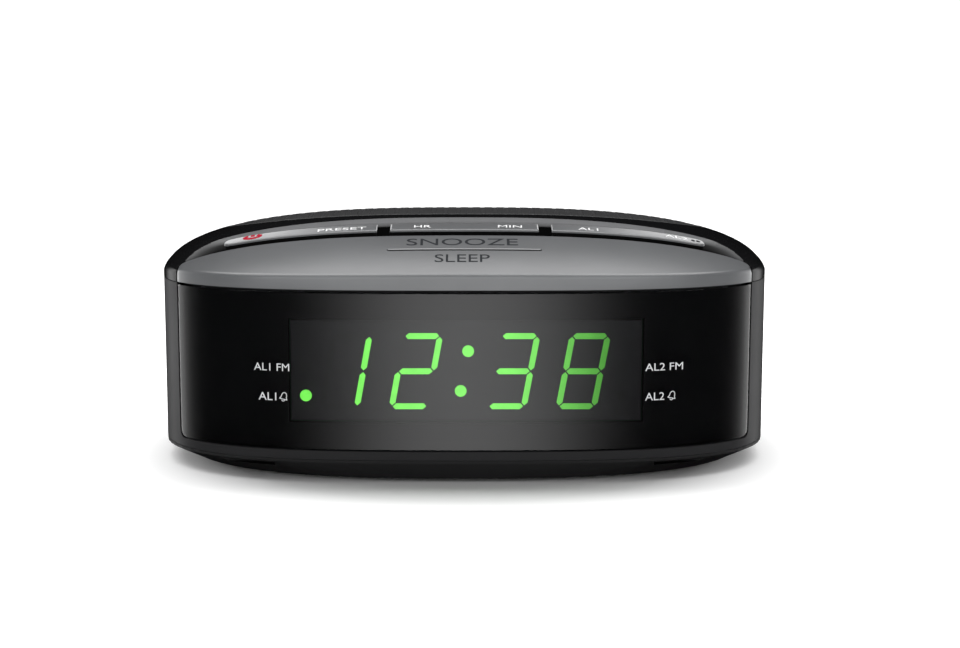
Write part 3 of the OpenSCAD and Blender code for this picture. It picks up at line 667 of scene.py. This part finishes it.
def cover_loop():
    """Cover's plan: the case outline without the snooze bar's zone at the front."""
    outline = superellipse(HALF_W, HALF_D, OUTLINE_POWER, 720)
    notch_x = SNOOZE_HALF_W + SNOOZE_GAP
    notch_y = front_y(notch_x)
    kept = [p for p in outline if not (abs(p[0]) < notch_x + 0.05 and p[1] < 0)]
    right_first = [p for p in kept if p[0] > 0 and p[1] < 0]
    rest = [p for p in kept if not (p[0] > 0 and p[1] < 0)]
    corner = snooze_corner(SNOOZE_GAP)
    inner_x = SNOOZE_HALF_W - SNOOZE_CORNER
    step_in = [(x, snooze_edge(x) + SNOOZE_GAP) for x in np.linspace(-inner_x, inner_x, 160)]
    notch = [(-notch_x, notch_y)] + [(-x, y) for x, y in corner]
    notch += step_in + corner[::-1] + [(notch_x, notch_y)]
    return resample(without_repeats(right_first + rest + notch), EDGE_STEP)


def outline_ratio(u, v):
    """1 on the case outline and less inside it."""
    return (abs(u) / HALF_W) ** OUTLINE_POWER + (abs(v) / HALF_D) ** OUTLINE_POWER


def shelled(surface, wall, rim_z):
    """Underside of a shell whose rim along the case outline reaches down to rim_z."""

    def under(u, v):
        f = outline_ratio(u, v) ** (1 / OUTLINE_POWER)
        slope_x = (abs(u) / HALF_W) ** (OUTLINE_POWER - 1) / HALF_W
        slope_y = (abs(v) / HALF_D) ** (OUTLINE_POWER - 1) / HALF_D
        steep = math.hypot(slope_x, slope_y) / max(f, 1e-6) ** (OUTLINE_POWER - 1)
        inset = (1 - f) / max(steep, 1e-6)
        return (u, v, rim_z if inset < wall else surface(u, v) - wall)

    return under


def cover_top(u, v):
    return dome_z(u, v) - channel_fall(u, v)


def grille_loop(inset):
    size = (GRILLE_HALF_W - inset, GRILLE_HALF_D - inset)
    return resample(superellipse(*size, GRILLE_POWER, 300, GRILLE_Y), EDGE_STEP)


def graded_outline_spots(insets, count):
    spots = []
    for inset in insets:
        spots.extend(superellipse(HALF_W - inset, HALF_D - inset, OUTLINE_POWER, count))
    return spots


def channel_share(x, y):
    """Share of grey in the channel: a band along its rim beside the keys, and a fade past them. Where it
    falls to nothing the channel is painted black as shade in its recess.
    """
    away = channel_distance(x, y)
    beside_keys = smoothstep(0.5 + 1.2 * (1 - away / KEY_BAND_W))
    past_keys = END_SHARE * math.exp(-END_FADE * max(0.0, away - END_BAND_W))
    return beside_keys + (past_keys - beside_keys) * towards_end(x)


def build_cover():
    spots = graded_outline_spots([1.4, 2.6, 4.0, 5.6, 7.6, 10.0], 300)
    spots += grid(-78, 78, -16, 46, 2.4)
    spots += [p for p in grid(-84, 84, -34, -14, 1.1) if not -0.6 < channel_distance(*p) < 4.9]
    for t in (-0.3, 0.0, 0.25, 0.7, 1.3, 2.0, 2.8, 3.6, 4.4):
        spots += channel_row(t, 0.8)
    shell = plate(
        cover_loop(),
        [grille_loop(0.0)] + [make(KEY_CLEARANCE) for make in key_loops.values()],
        lambda u, v, d: (u, v, cover_top(u, v) - d),
        shelled(cover_top, COVER_WALL, PARTING_Z + COVER_GAP),
        spots,
        0.55,
        lambda u, v: COVER_RIM_R if outline_ratio(u, v) > 0.995 else COVER_HOLE_R,
        COVER_HOLE_R,
        lambda u, v: 1 if channel_distance(u, v) > 0 else 0,
    )
    # Shelf under the snooze bar's rear edge, which closes the channel to the inside
    half = SHELF_HALF_W
    shelf_rear = [(x, snooze_edge(x) + 1.0) for x in np.linspace(half, -half, 60)]
    shelf = plate(
        resample(shelf_rear + [(-half, SHELF_FRONT_Y), (half, SHELF_FRONT_Y)], 2.0),
        [],
        lambda u, v, d: (u, v, dome_z(u, v) - SHELF_DEPTHS[0] - d),
        lambda u, v: (u, v, dome_z(u, v) - SHELF_DEPTHS[1]),
        grid(-half, half, -38, -30, 2.0),
        0.7,
    )
    made = make_piece("top_cover_shell", [shell, shelf], [gloss_black, channel_grey_and_painted_shade], "case")
    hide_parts("top_cover")
    # Grey share per point for the channel's material; the black where it is low is painted shade.
    depth = made.data.attributes.new("channel_share", "FLOAT", "POINT")
    for v, share in zip(made.data.vertices, depth.data):
        share.value = channel_share(v.co.x / MM, v.co.y / MM)


build_cover()

# ---------- speaker grille

RIB_PITCH = 3.7
RIB_HALF_W = 1.15
RIB_ROUND = 0.06
RIB_DEEP = 1.5
SCREEN_DEPTH = 0.09
SCREEN_T = 0.5
GRILLE_GAP = 0.15
GRILLE_RIM_W = 1.6
GRILLE_RIM_DEEP = 2.0


def on_dome(u, v, d):
    return (u, v, dome_z(u, v) - d)


def rib(x, reach):
    """A flat bar with eased edges from front to back, its top just under the dome's surface."""
    top = 0.02
    corner = RIB_HALF_W - RIB_ROUND
    right = [
        (corner, top),
        (corner + 0.7 * RIB_ROUND, top + 0.3 * RIB_ROUND),
        (RIB_HALF_W, top + RIB_ROUND),
        (RIB_HALF_W, RIB_DEEP),
    ]
    profile = [(-dx, depth) for dx, depth in reversed(right)] + right
    rings = []
    steps = 22
    for i in range(steps + 1):
        y = GRILLE_Y - reach + 2 * reach * i / steps
        rings.append([on_dome(x + dx, y, deep) for dx, deep in profile])
    return tube(rings)


def build_grille():
    middle_size = (GRILLE_HALF_W - GRILLE_RIM_W / 2, GRILLE_HALF_D - GRILLE_RIM_W / 2)
    rim = plate(
        grille_loop(GRILLE_GAP),
        [grille_loop(GRILLE_RIM_W)],
        on_dome,
        lambda u, v: on_dome(u, v, GRILLE_RIM_DEEP),
        superellipse(*middle_size, GRILLE_POWER, 300, GRILLE_Y),
        0.3,
        0.3,
        0.3,
    )
    parts = [rim]
    count = int((GRILLE_HALF_W - 4) / RIB_PITCH)
    for i in range(-count, count + 1):
        x = i * RIB_PITCH
        share = (abs(x) + RIB_HALF_W) / (GRILLE_HALF_W - GRILLE_RIM_W)
        bowed = (1 - share**GRILLE_POWER) ** (1 / GRILLE_POWER)
        parts.append(rib(x, (GRILLE_HALF_D - GRILLE_RIM_W) * bowed + 0.3))
    made = make_piece("speaker_grille_ribs", parts, [rib_black], "case", 50.0)
    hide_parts("speaker_grille")
    screen = plate(
        grille_loop(1.0),
        [],
        lambda u, v, d: on_dome(u, v, SCREEN_DEPTH + d),
        lambda u, v: on_dome(u, v, SCREEN_DEPTH + SCREEN_T),
        grid(-72, 72, -13, 40, 3.0),
        1.0,
    )
    make_piece("dust_screen", [screen], [screen_cloth], "case")


build_grille()

# ---------- snooze bar

RIDGE_HALF_L = 21.7
RIDGE_Y = -42.4
RIDGE_HALF_W = 0.55
RIDGE_FLANK = 0.14
RIDGE_HEIGHT = 0.22
RIDGE_CROWN = 0.15
SNOOZE_WALL = 1.7
SNOOZE_REAR_R = 0.3
SNOOZE_FRONT_R = 0.8


def snooze_loop():
    """Plan of the snooze bar: the front outline, short ends with rounded rear corners, and the swept rear."""
    front = arc_between(-SNOOZE_HALF_W, SNOOZE_HALF_W, 150)
    right = snooze_corner(0.0)
    inner_x = SNOOZE_HALF_W - SNOOZE_CORNER
    rear = [(x, snooze_edge(x)) for x in np.linspace(inner_x, -inner_x, 110)[1:-1]]
    left = [(-x, y) for x, y in reversed(right)]
    return resample(front + right + rear + left, 1.4)


def snooze_radius(u, v):
    """Edge rounding: generous along the front rim, small along the rear edge."""
    to_front = smoothstep((snooze_edge(u) - 0.6 - v) / 3.0)
    return SNOOZE_REAR_R + (SNOOZE_FRONT_R - SNOOZE_REAR_R) * to_front


def ridge_distance(u, v):
    """Distance of a plan point from the ridge's middle line."""
    along = max(0.0, abs(u) - (RIDGE_HALF_L - RIDGE_HALF_W))
    return math.hypot(v - RIDGE_Y, along)


def ridge_row(r):
    """Plan points at the distance r from the ridge's middle line."""
    half = RIDGE_HALF_L - RIDGE_HALF_W
    points = []
    for x in np.arange(0.0, half, 0.4):
        points += [(x, RIDGE_Y + r), (x, RIDGE_Y - r), (-x, RIDGE_Y + r), (-x, RIDGE_Y - r)]
    for x, y in arc(half, RIDGE_Y, r, r, -90, 90, 12):
        points += [(x, y), (-x, y)]
    return points


def snooze_surface(u, v):
    """Top of the snooze bar with its raised ridge."""
    away = ridge_distance(u, v)
    climbed = smoothstep((RIDGE_HALF_W + RIDGE_FLANK - away) / RIDGE_FLANK)
    crown = max(0.0, 1 - (away / RIDGE_HALF_W) ** 2)
    return dome_z(u, v) + RIDGE_HEIGHT * climbed + RIDGE_CROWN * crown


def build_snooze():
    spots = graded_outline_spots([1.0, 1.3, 1.82, 2.8, 4.2, 6.0], 480)
    spots += grid(-82, 82, -54, -31, 1.7)
    spots = [p for p in spots if ridge_distance(*p) > 1.9]
    for r in (0.2, 0.42, RIDGE_HALF_W, 0.62, RIDGE_HALF_W + RIDGE_FLANK, 0.9, 1.3):
        spots += ridge_row(r)
    shell = plate(
        snooze_loop(),
        [],
        lambda u, v, d: (u, v, snooze_surface(u, v) - d),
        shelled(dome_z, SNOOZE_WALL, SNOOZE_SKIRT_Z),
        spots,
        0.5,
        snooze_radius,
        # The ridge's steep flanks get the near-black material: painted shade that outlines the raised ridge.
        tint=lambda u, v: 1 if RIDGE_HALF_W < ridge_distance(u, v) < RIDGE_HALF_W + RIDGE_FLANK else 0,
    )
    made = make_piece("snooze_bar_shell", [shell], [snooze_grey, painted_shade_black], "snooze_bar")
    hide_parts("snooze_key")


build_snooze()

# ---------- rocker keys

KEY_BODIES = {"key_left": "left_key", "key_centre": "centre_key", "key_right": "right_key"}
KEY_EDGE_R = 0.5
KEY_CAP_BOTTOM = 0.4
KEY_CORE_INSET = 0.35
KEY_MIDDLE_Y = -29.4
KEY_CROWN = 0.004


def key_top(u, v):
    """Key's top, slightly crowned from front to back."""
    return dome_z(u, v) + KEY_PROUD - KEY_CROWN * (v - KEY_MIDDLE_Y) ** 2


def build_keys():
    for node, make in key_loops.items():
        loop = make(0.0)
        xs = [p[0] for p in loop]
        spots = grid(min(xs), max(xs), -33, -26, 1.0)
        cap = plate(
            loop,
            [],
            lambda u, v, d: (u, v, key_top(u, v) - d),
            lambda u, v: (u, v, dome_z(u, v) + KEY_CAP_BOTTOM),
            spots,
            0.45,
            KEY_EDGE_R,
        )
        core = plate(
            make(-KEY_CORE_INSET),
            [],
            lambda u, v, d: (u, v, dome_z(u, v) + KEY_CAP_BOTTOM - d),
            lambda u, v: (u, v, dome_z(u, v) - KEY_UNDER),
            spots,
            0.45,
        )
        # The key's body under its grey cap is near-black: painted shade for the dark gap under the key.
        core = (core[0], core[1], [1] * len(core[1]))
        made = make_piece(node + "_cap", [cap, core], [key_grey, painted_shade_black], KEY_BODIES[node])
        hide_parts(node)


build_keys()

# ---------- housing

OUTLINE_SAMPLES = 2400
NOTCH_HALF_W = LENS_HALF_W + 0.2
NOTCH_CORNER_R = 2.4
JACK_FROM_BACK = 30.0
JACK_HALF_W = 4.6
JACK_Z = (22.4, 33.6)
PANEL_HALF_W = 83.0
PANEL_Z = (7.0, 54.0)
PANEL_DEPTHS = (LENS_T + 0.03, 4.3)
WINDOW = (-49.2, 50.2, 16.4, 45.8)


def outline_walk():
    """Distance along the outline from the middle of the back, with the angle at each sample."""
    angles = [math.pi / 2 + 2 * math.pi * i / OUTLINE_SAMPLES for i in range(OUTLINE_SAMPLES + 1)]
    lengths = [0.0]
    last = None
    for a in angles:
        x = HALF_W * signed_pow(math.cos(a), 2 / OUTLINE_POWER)
        y = HALF_D * signed_pow(math.sin(a), 2 / OUTLINE_POWER)
        if last is not None:
            lengths.append(lengths[-1] + math.hypot(x - last[0], y - last[1]))
        last = (x, y)
    return np.array(lengths), np.array(angles)


walk_lengths, walk_angles = outline_walk()
WALK = walk_lengths[-1]


def wall_point(u, z, inset):
    """Point on the case wall at distance u along the outline, moved in by inset."""
    u = min(max(u, 0.0), WALK)
    a = float(np.interp(u, walk_lengths, walk_angles))
    c = math.cos(a)
    s = math.sin(a)
    if abs(c) < 1e-6:
        c = 0.0
    return (
        (HALF_W - inset) * signed_pow(c, 2 / OUTLINE_POWER),
        (HALF_D - inset) * signed_pow(s, 2 / OUTLINE_POWER),
        z,
    )


def walk_at_front(x):
    """Distance along the outline to the front point at x. The walk runs back, left, front, right."""
    xs = np.array([wall_point(u, 0, 0)[0] for u in walk_lengths])
    front = [i for i in range(len(xs)) if math.sin(walk_angles[i]) < 0]
    return float(np.interp(x, xs[front], walk_lengths[front]))


def housing_point(u, z, inset):
    """Point of the housing's wall. Beside the lens the wall runs straight back from the notch's edge."""
    x, y, _ = wall_point(u, z, 0)
    if y >= 0:
        return wall_point(u, z, inset)
    beyond = max(0.0, abs(x) - NOTCH_HALF_W)
    squeezed = beyond * (HALF_W - inset - NOTCH_HALF_W) / (HALF_W - NOTCH_HALF_W)
    moved_x = min(abs(x), NOTCH_HALF_W) + squeezed
    return (math.copysign(moved_x, x), front_y(moved_x, inset), z)


def build_housing():
    left = walk_at_front(-NOTCH_HALF_W)
    right = walk_at_front(NOTCH_HALF_W)
    low = LENS_Z[0] - 0.15
    high = PARTING_Z - 0.02
    r = NOTCH_CORNER_R
    notch = [(right, high)] + arc(right - r, low + r, r, r, 0, -90, 6)
    notch += arc(left + r, low + r, r, r, 270, 180, 6) + [(left, high)]
    outer = [(0.0, BASE_JOINT_Z), (WALK, BASE_JOINT_Z), (WALK, high)] + notch + [(0.0, high)]
    jack_u = WALK - JACK_FROM_BACK
    jack = resample(rectangle(jack_u - JACK_HALF_W, jack_u + JACK_HALF_W, *JACK_Z), 2.0)
    spots = [(u, z) for u in np.arange(1.5, WALK, 1.5) for z in (9, 14, 20, 26, 32, 38, 44, 50, 53)]
    shell = plate(
        resample(outer, 1.5),
        [jack],
        housing_point,
        lambda u, z: housing_point(u, z, LENS_T),
        spots,
        0.7,
        lambda u, z: 0.25 if 1 < u < WALK - 1 else 0.01,
        0.25,
    )
    # Panel behind the lens, with the display's window
    panel = plate(
        resample(rectangle(-PANEL_HALF_W, PANEL_HALF_W, *PANEL_Z), EDGE_STEP),
        [resample(rectangle(*WINDOW), EDGE_STEP)],
        lambda x, z, d: (x, front_y(x, PANEL_DEPTHS[0] + d), z),
        lambda x, z: (x, front_y(x, PANEL_DEPTHS[1]), z),
        grid(-82, 82, 8, 53, 4.0),
        1.0,
    )
    panel = (panel[0], panel[1], [1] * len(panel[1]))
    made = make_piece("housing_wall", [shell, panel], [satin_black, panel_black], "case")
    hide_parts("mid_housing")


build_housing()

# ---------- lens


def build_lens():
    r = LENS_CORNER_R
    low, high = LENS_Z
    loop = [(LENS_HALF_W, high), (-LENS_HALF_W, high)]
    loop += arc(r - LENS_HALF_W, low + r, r, r, 180, 270, 8)
    loop += arc(LENS_HALF_W - r, low + r, r, r, 270, 360, 8)
    xs = [LENS_HALF_W * math.sin(math.radians(90 * k / 70)) for k in range(-70, 71)]
    spots = [(x, z) for x in xs for z in np.arange(11, 53, 2.6)]
    shell = plate(
        resample(loop, 1.2),
        [],
        lambda x, z, d: (x, front_y(x, d), z),
        lambda x, z: (x, front_y(x, LENS_T - 0.1), z),
        spots,
        0.5,
        0.3,
    )
    made = make_piece("display_lens", [shell], [dark_lens], "case", 45.0)
    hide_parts("front_lens")


build_lens()

# ---------- lettering


INK_T = 0.03


def lettering(name, text, box, place, material, body):
    """Text as thin solid letters that fill box = (u0, u1, v0, v1), laid on a surface by place(u, v, lift)."""
    curve = bpy.data.curves.new(name + "_curve", "FONT")
    curve.body = text
    curve.extrude = 0.5
    curve.resolution_u = 4
    holder = add_object(name + "_curve", curve)
    bpy.context.view_layer.update()
    mesh = bpy.data.meshes.new_from_object(holder)
    bpy.data.objects.remove(holder)
    work = bmesh.new()
    work.from_mesh(mesh)
    bmesh.ops.remove_doubles(work, verts=work.verts, dist=1e-5)
    corners = [v.co.copy() for v in work.verts]
    low_x = min(c.x for c in corners)
    high_x = max(c.x for c in corners)
    low_y = min(c.y for c in corners)
    high_y = max(c.y for c in corners)
    u0, u1, v0, v1 = box
    for v in work.verts:
        u = u0 + (u1 - u0) * (v.co.x - low_x) / (high_x - low_x)
        w = v0 + (v1 - v0) * (v.co.y - low_y) / (high_y - low_y)
        lift = INK_T if v.co.z > 0 else -INK_T
        v.co = Vector(place(u, w, lift)) * MM
    bmesh.ops.recalc_face_normals(work, faces=work.faces)
    work.to_mesh(mesh)
    work.free()
    mesh.materials.clear()
    mesh.materials.append(material)
    mesh.name = name
    piece = add_object(name, mesh)
    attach(piece, body)


def on_snooze(u, v, lift):
    return (u, v, dome_z(u, v) + 0.01 + lift)


def on_key(u, v, lift):
    return (u, v, key_top(u, v) + 0.01 + lift)


def on_lens(x, z, lift):
    y = front_y(x)
    return (x, y - 0.01 - lift if abs(x) > 1 else y, z)


def snooze_word(name, text, box):
    lettering(name, text, box, on_snooze, dark_ink, "snooze_bar")


def key_word(name, text, box, body):
    lettering(name, text, box, on_key, white_ink, body)


def lens_word(name, text, box):
    lettering(name, text, box, on_lens, soft_white_ink, "case")


snooze_word("snooze_word", "SNOOZE", (-16.4, 15.2, -40.1, -36.0))
snooze_word("sleep_word", "SLEEP", (-8.3, 7.1, -49.0, -45.2))
key_word("preset_word", "PRESET", (-42.3, -28.3, -30.7, -28.9), "left_key")
key_word("hour_word", "HR", (-14.5, -9.6, -30.4, -28.6), "centre_key")
key_word("minute_word", "MIN", (9.7, 16.6, -30.4, -28.6), "centre_key")
key_word("alarm_1_word", "AL1", (32.8, 38.6, -30.6, -28.8), "right_key")
key_word("alarm_2_word", "AL2", (58.0, 64.6, -29.6, -27.8), "right_key")
lens_word("lens_alarm_1_fm", "AL1 FM", (-58.9, -48.8, 31.3, 33.4))
lens_word("lens_alarm_1", "AL1", (-57.7, -52.6, 22.9, 25.1))
lens_word("lens_alarm_2_fm", "AL2 FM", (50.4, 61.3, 31.3, 33.4))
lens_word("lens_alarm_2", "AL2", (50.5, 56.0, 22.9, 25.1))


def stroke_path(points, half_width, place, closed=False):
    """A thin raised line along a path of plan points."""
    n = len(points)
    rings = []
    for i, (u, v) in enumerate(points):
        if closed:
            before = points[i - 1]
            after = points[(i + 1) % n]
        else:
            before = points[max(0, i - 1)]
            after = points[min(n - 1, i + 1)]
        du, dv = after[0] - before[0], after[1] - before[1]
        length = math.hypot(du, dv)
        nu, nv = -dv / length * half_width, du / length * half_width
        rings.append(
            [
                place(u + nu, v + nv, INK_T),
                place(u - nu, v - nv, INK_T),
                place(u - nu, v - nv, -INK_T),
                place(u + nu, v + nv, -INK_T),
            ]
        )
    if closed:
        rings.append(rings[0])
        points_out, faces, numbers = tube(rings, close_ends=False)
        last = len(points_out) - 4
        faces = [tuple(i - last if i >= last else i for i in f) for f in faces]
        return points_out[:last], faces, numbers
    return tube(rings)


def build_power_icon():
    cx, cy = -61.3, -28.6
    ring = stroke_path(arc(cx, cy, 2.2, 1.15, 125, 415, 28), 0.62, on_key)
    bar = stroke_path([(cx, cy + 0.1), (cx, cy + 0.9), (cx, cy + 1.5)], 0.6, on_key)
    make_piece("power_icon", [ring, bar], [red_ink], "left_key")


def build_bell(name, cx, cy):
    """Outline of a small bell, tilted a little."""
    body = [(-1.1, -0.9), (-0.75, -0.35), (-0.7, 0.3), (-0.45, 0.85), (0.0, 1.05)]
    body += [(-x, y) for x, y in reversed(body[:-1])]
    tilt = math.radians(-14)
    c = math.cos(tilt)
    s = math.sin(tilt)
    turned = [(cx + x * c - y * s, cy + x * s + y * c) for x, y in body]
    bell = stroke_path(resample(turned, 0.2), 0.11, on_lens, closed=True)
    clapper = stroke_path(arc(cx - 0.25, cy - 1.0, 0.42, 0.42, 190, 350, 8), 0.1, on_lens)
    make_piece(name, [bell, clapper], [soft_white_ink], "case")


def build_key_dots():
    """Two small dark marks at the outer end of the right key."""
    parts = []
    for x, y in ((66.1, -29.0), (67.6, -28.8)):
        parts.append(stroke_path(arc(x, y, 0.26, 0.3, 0, 345, 11), 0.36, on_key, closed=True))
    make_piece("key_marks", parts, [dark_ink], "right_key")


build_power_icon()
build_bell("lens_bell_1", -50.4, 24.2)
build_bell("lens_bell_2", 58.3, 24.2)
build_key_dots()

# ---------- carried-over CAD nodes

NODE_MATERIALS = {
    "base_pan": base_black,
    "battery_door": base_black,
    "rubber_feet": rubber,
    "display_module": display_face,
    "digits_lit": led_green,
    "indicator_dots": led_green,
    "digits_unlit": unlit_face,
    "display_board": pcb,
    "main_board": pcb,
    "key_board": pcb,
    "snooze_pads": silicone,
    "key_pads": silicone,
    "key_pivot_pins": steel,
    "speaker_frame": black_part,
    "speaker_magnet": steel,
    "speaker_cone": paper_cone,
    "speaker_dust_cap": paper_cone,
    "dc_jack": black_part,
    "dc_pin": steel,
    "backup_cells": cell_wrap,
    "battery_contacts": steel,
    "tuner_shield": steel,
    "chips": black_part,
    "capacitors": cell_wrap,
    "crystal": steel,
    "connectors": ivory,
    "display_ribbon": ivory,
    "key_ribbon": ivory,
    "speaker_leads": black_part,
    "jack_leads": black_part,
}


def finish_cad_nodes():
    for name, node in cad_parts.items():
        material = steel if name.endswith("_screws") else NODE_MATERIALS.get(name, satin_black)
        for s in node.material_slots:
            s.material = material
        if not node.material_slots:
            node.data.materials.append(material)


finish_cad_nodes()

# ---------- floor, light and camera


FLOOR_TURNS = 48
# Radius and height of each ring of the floor, in metres
FLOOR_RINGS = ((0.5, 0.0), (2.5, 0.0), (3.4, 0.15), (4.0, 0.6), (4.2, 1.4))


def floor_material():
    """Pale floor that glows a little more with the distance, so that it ends in plain white. The glow is
    painted light: it starts 75 mm from the middle and lightens the radio's shadow on the floor beside it.
    """
    n = Nodes("pale_floor")
    shader = n.add("ShaderNodeBsdfPrincipled", Roughness=0.9)
    tone = n.mix_colour(n.noise(3.0, 2.0), (0.86, 0.86, 0.86, 1), (0.89, 0.89, 0.89, 1))
    n.put(shader.inputs["Base Color"], tone)
    shader.inputs["Specular IOR Level"].default_value = 0.0
    shader.inputs["Emission Color"].default_value = (1.0, 1.0, 1.0, 1.0)
    # Painted light: the glow rises from nothing at 75 mm to full at 130 mm from the middle, lifting the
    # shadow beside the radio.
    far = n.add("ShaderNodeVectorMath", operation="LENGTH")
    n.put(far.inputs[0], n.position)
    n.put(shader.inputs["Emission Strength"], n.spread(far.outputs["Value"], 0.0, 0.75, 0.075, 0.13))
    return n.finish(shader.outputs["BSDF"])


def build_floor():
    """A pale round floor that sweeps up to a low wall far away on every side."""
    n = FLOOR_TURNS
    points = [(0.0, 0.0, 0.0)]
    for r, z in FLOOR_RINGS:
        for k in range(n):
            a = 2 * math.pi * k / n
            points.append((r * math.cos(a), r * math.sin(a), z))
    faces = [(0, 1 + k, 1 + (k + 1) % n) for k in range(n)]
    for ring in range(len(FLOOR_RINGS) - 1):
        first = 1 + ring * n
        for k in range(n):
            after = (k + 1) % n
            faces.append((first + k, first + n + k, first + n + after, first + after))
    mesh = bpy.data.meshes.new("floor")
    mesh.from_pydata(points, [], faces)
    mesh.shade_smooth()
    mesh.materials.append(floor_material())
    sweep = add_object("floor", mesh)
    sweep.visible_glossy = False


def build_world():
    """Soft white surroundings that light the scene but aren't mirrored by the glossy plastic."""
    world = bpy.data.worlds.new("studio")
    bpy.context.scene.world = world
    world.use_nodes = True
    background = world.node_tree.nodes["Background"]
    background.inputs["Color"].default_value = (1.0, 1.0, 1.0, 1.0)
    background.inputs["Strength"].default_value = 0.32
    world.cycles_visibility.glossy = False


def soft_light(name, place, aim, size, power, glossy=True, diffuse=True):
    data = bpy.data.lights.new(name, "AREA")
    data.shape = "RECTANGLE"
    data.size = size[0]
    data.size_y = size[1]
    data.energy = power
    light = add_object(name, data)
    light.location = place
    light.rotation_euler = (Vector(aim) - Vector(place)).to_track_quat("-Z", "Y").to_euler()
    light.visible_glossy = glossy
    light.visible_diffuse = diffuse
    light.visible_camera = False
    return light


def link_light(light, pieces, state="INCLUDE"):
    """Let the light reach these pieces alone, or with "EXCLUDE" all but these."""
    receivers = bpy.data.collections.new(light.name + "_receivers")
    for piece in pieces:
        receivers.objects.link(bpy.data.objects[piece])
    for item in receivers.collection_objects:
        item.light_linking.link_state = state
    light.light_linking.receiver_collection = receivers


def highlight(name, place, aim, size, power, pieces):
    """A light that is only mirrored, and only by these pieces."""
    light = soft_light(name, place, aim, size, power, diffuse=False)
    link_light(light, pieces)
    return light


def card_material(name, strength, falloff, sharpness):
    """A glowing card, brightest along its middle and fading to both ends of its own X axis."""
    n = Nodes(name)
    away = n.math("DIVIDE", n.math("ABSOLUTE", n.along("X")), falloff)
    fade = n.math("EXPONENT", n.math("MULTIPLY", n.math("POWER", away, sharpness), -1.0))
    glow = n.add("ShaderNodeEmission")
    n.put(glow.inputs["Strength"], n.math("MULTIPLY", fade, strength))
    return n.finish(glow.outputs["Emission"])


def mirror_card(name, centre, half_size, turn, strength, falloff, sharpness):
    """A card that only glossy surfaces mirror, standing upright and turned about Z."""
    half_x, half_z = half_size
    mesh = bpy.data.meshes.new(name)
    corners = [(x, 0, z) for x, z in rectangle(-half_x, half_x, -half_z, half_z)]
    mesh.from_pydata(corners, [], [(0, 1, 2, 3)])
    mesh.materials.append(card_material(name, strength, falloff, sharpness))
    card = add_object(name, mesh)
    card.location = centre
    card.rotation_euler = (0, 0, turn)
    card.visible_camera = False
    card.visible_diffuse = False
    card.visible_shadow = False
    card.visible_transmission = False


KEY_CAPS = ["key_left_cap", "key_centre_cap", "key_right_cap"]


def build_lights():
    """Wide soft light on the radio, a light for the floor, and highlights for single pieces."""
    above = soft_light("overhead", (0.0, 0.14, 0.75), (0, -0.02, 0.05), (1.1, 0.45), 7.3)
    fill = soft_light("front_fill", (0.0, -0.8, 0.45), (0, -0.03, 0.03), (0.9, 0.5), 1.6, glossy=False)
    for light in (above, fill):
        link_light(light, ["floor"], "EXCLUDE")
    below = soft_light("floor_light", (0.0, 0.12, 0.6), (0, 0.12, 0), (1.4, 0.22), 6.6, glossy=False)
    link_light(below, ["floor"])
    mirror_card("front_card", (0.0, -0.55, -0.06), (0.9, 0.13), 0.0, 2.05, 0.1356, 1.6)
    for side in (-1, 1):
        mirror_card("side_card", (side * 0.55, 0.3, 0.05), (0.6, 0.25), math.pi / 2, 2.9, 0.2, 2.0)
        place = (side * 0.45, 0.75, 0.5)
        highlight("key_light", place, (0, -0.03, 0.06), (0.55, 0.5), 2.9, KEY_CAPS)
    # Lights that only make highlights along the snooze bar and the front edge of the keys
    bar = ["snooze_bar_shell"]
    front = highlight("bar_light", (0, -0.55, 0.17), (0, 0.0, 0.17), (1.04, 0.66), 6.2, bar)
    top = highlight("bar_top_light", (0, -0.25, 0.7), (0, -0.25, 0), (1.2, 0.7), 4.5, bar + KEY_CAPS)
    shadowless = [front, top]
    for side in (-1, 1):
        place = (side * 0.53, 0.22, 0.03)
        aim = (side * 0.08, -0.03, 0.05)
        shadowless.append(highlight("bar_end_light", place, aim, (0.25, 0.3), 0.5, bar))
    for light in shadowless:
        light.data.use_shadow = False


CAMERA_PLACE = (0.0, -0.5187, 0.1135)
CAMERA_LENS = 63.75
CAMERA_SHIFT_X = 0.01625
CAMERA_DOWN_DEG = 8.40


def build_camera():
    data = bpy.data.cameras.new("camera")
    data.sensor_width = 36.0
    data.lens = CAMERA_LENS
    data.shift_x = CAMERA_SHIFT_X
    data.clip_start = 0.01
    camera = add_object("camera", data)
    camera.location = CAMERA_PLACE
    camera.rotation_euler = (math.radians(90 - CAMERA_DOWN_DEG), 0.0, 0.0)
    bpy.context.scene.camera = camera


build_world()
build_floor()
build_lights()
build_camera()
bpy.context.scene.view_settings.view_transform = "Standard"
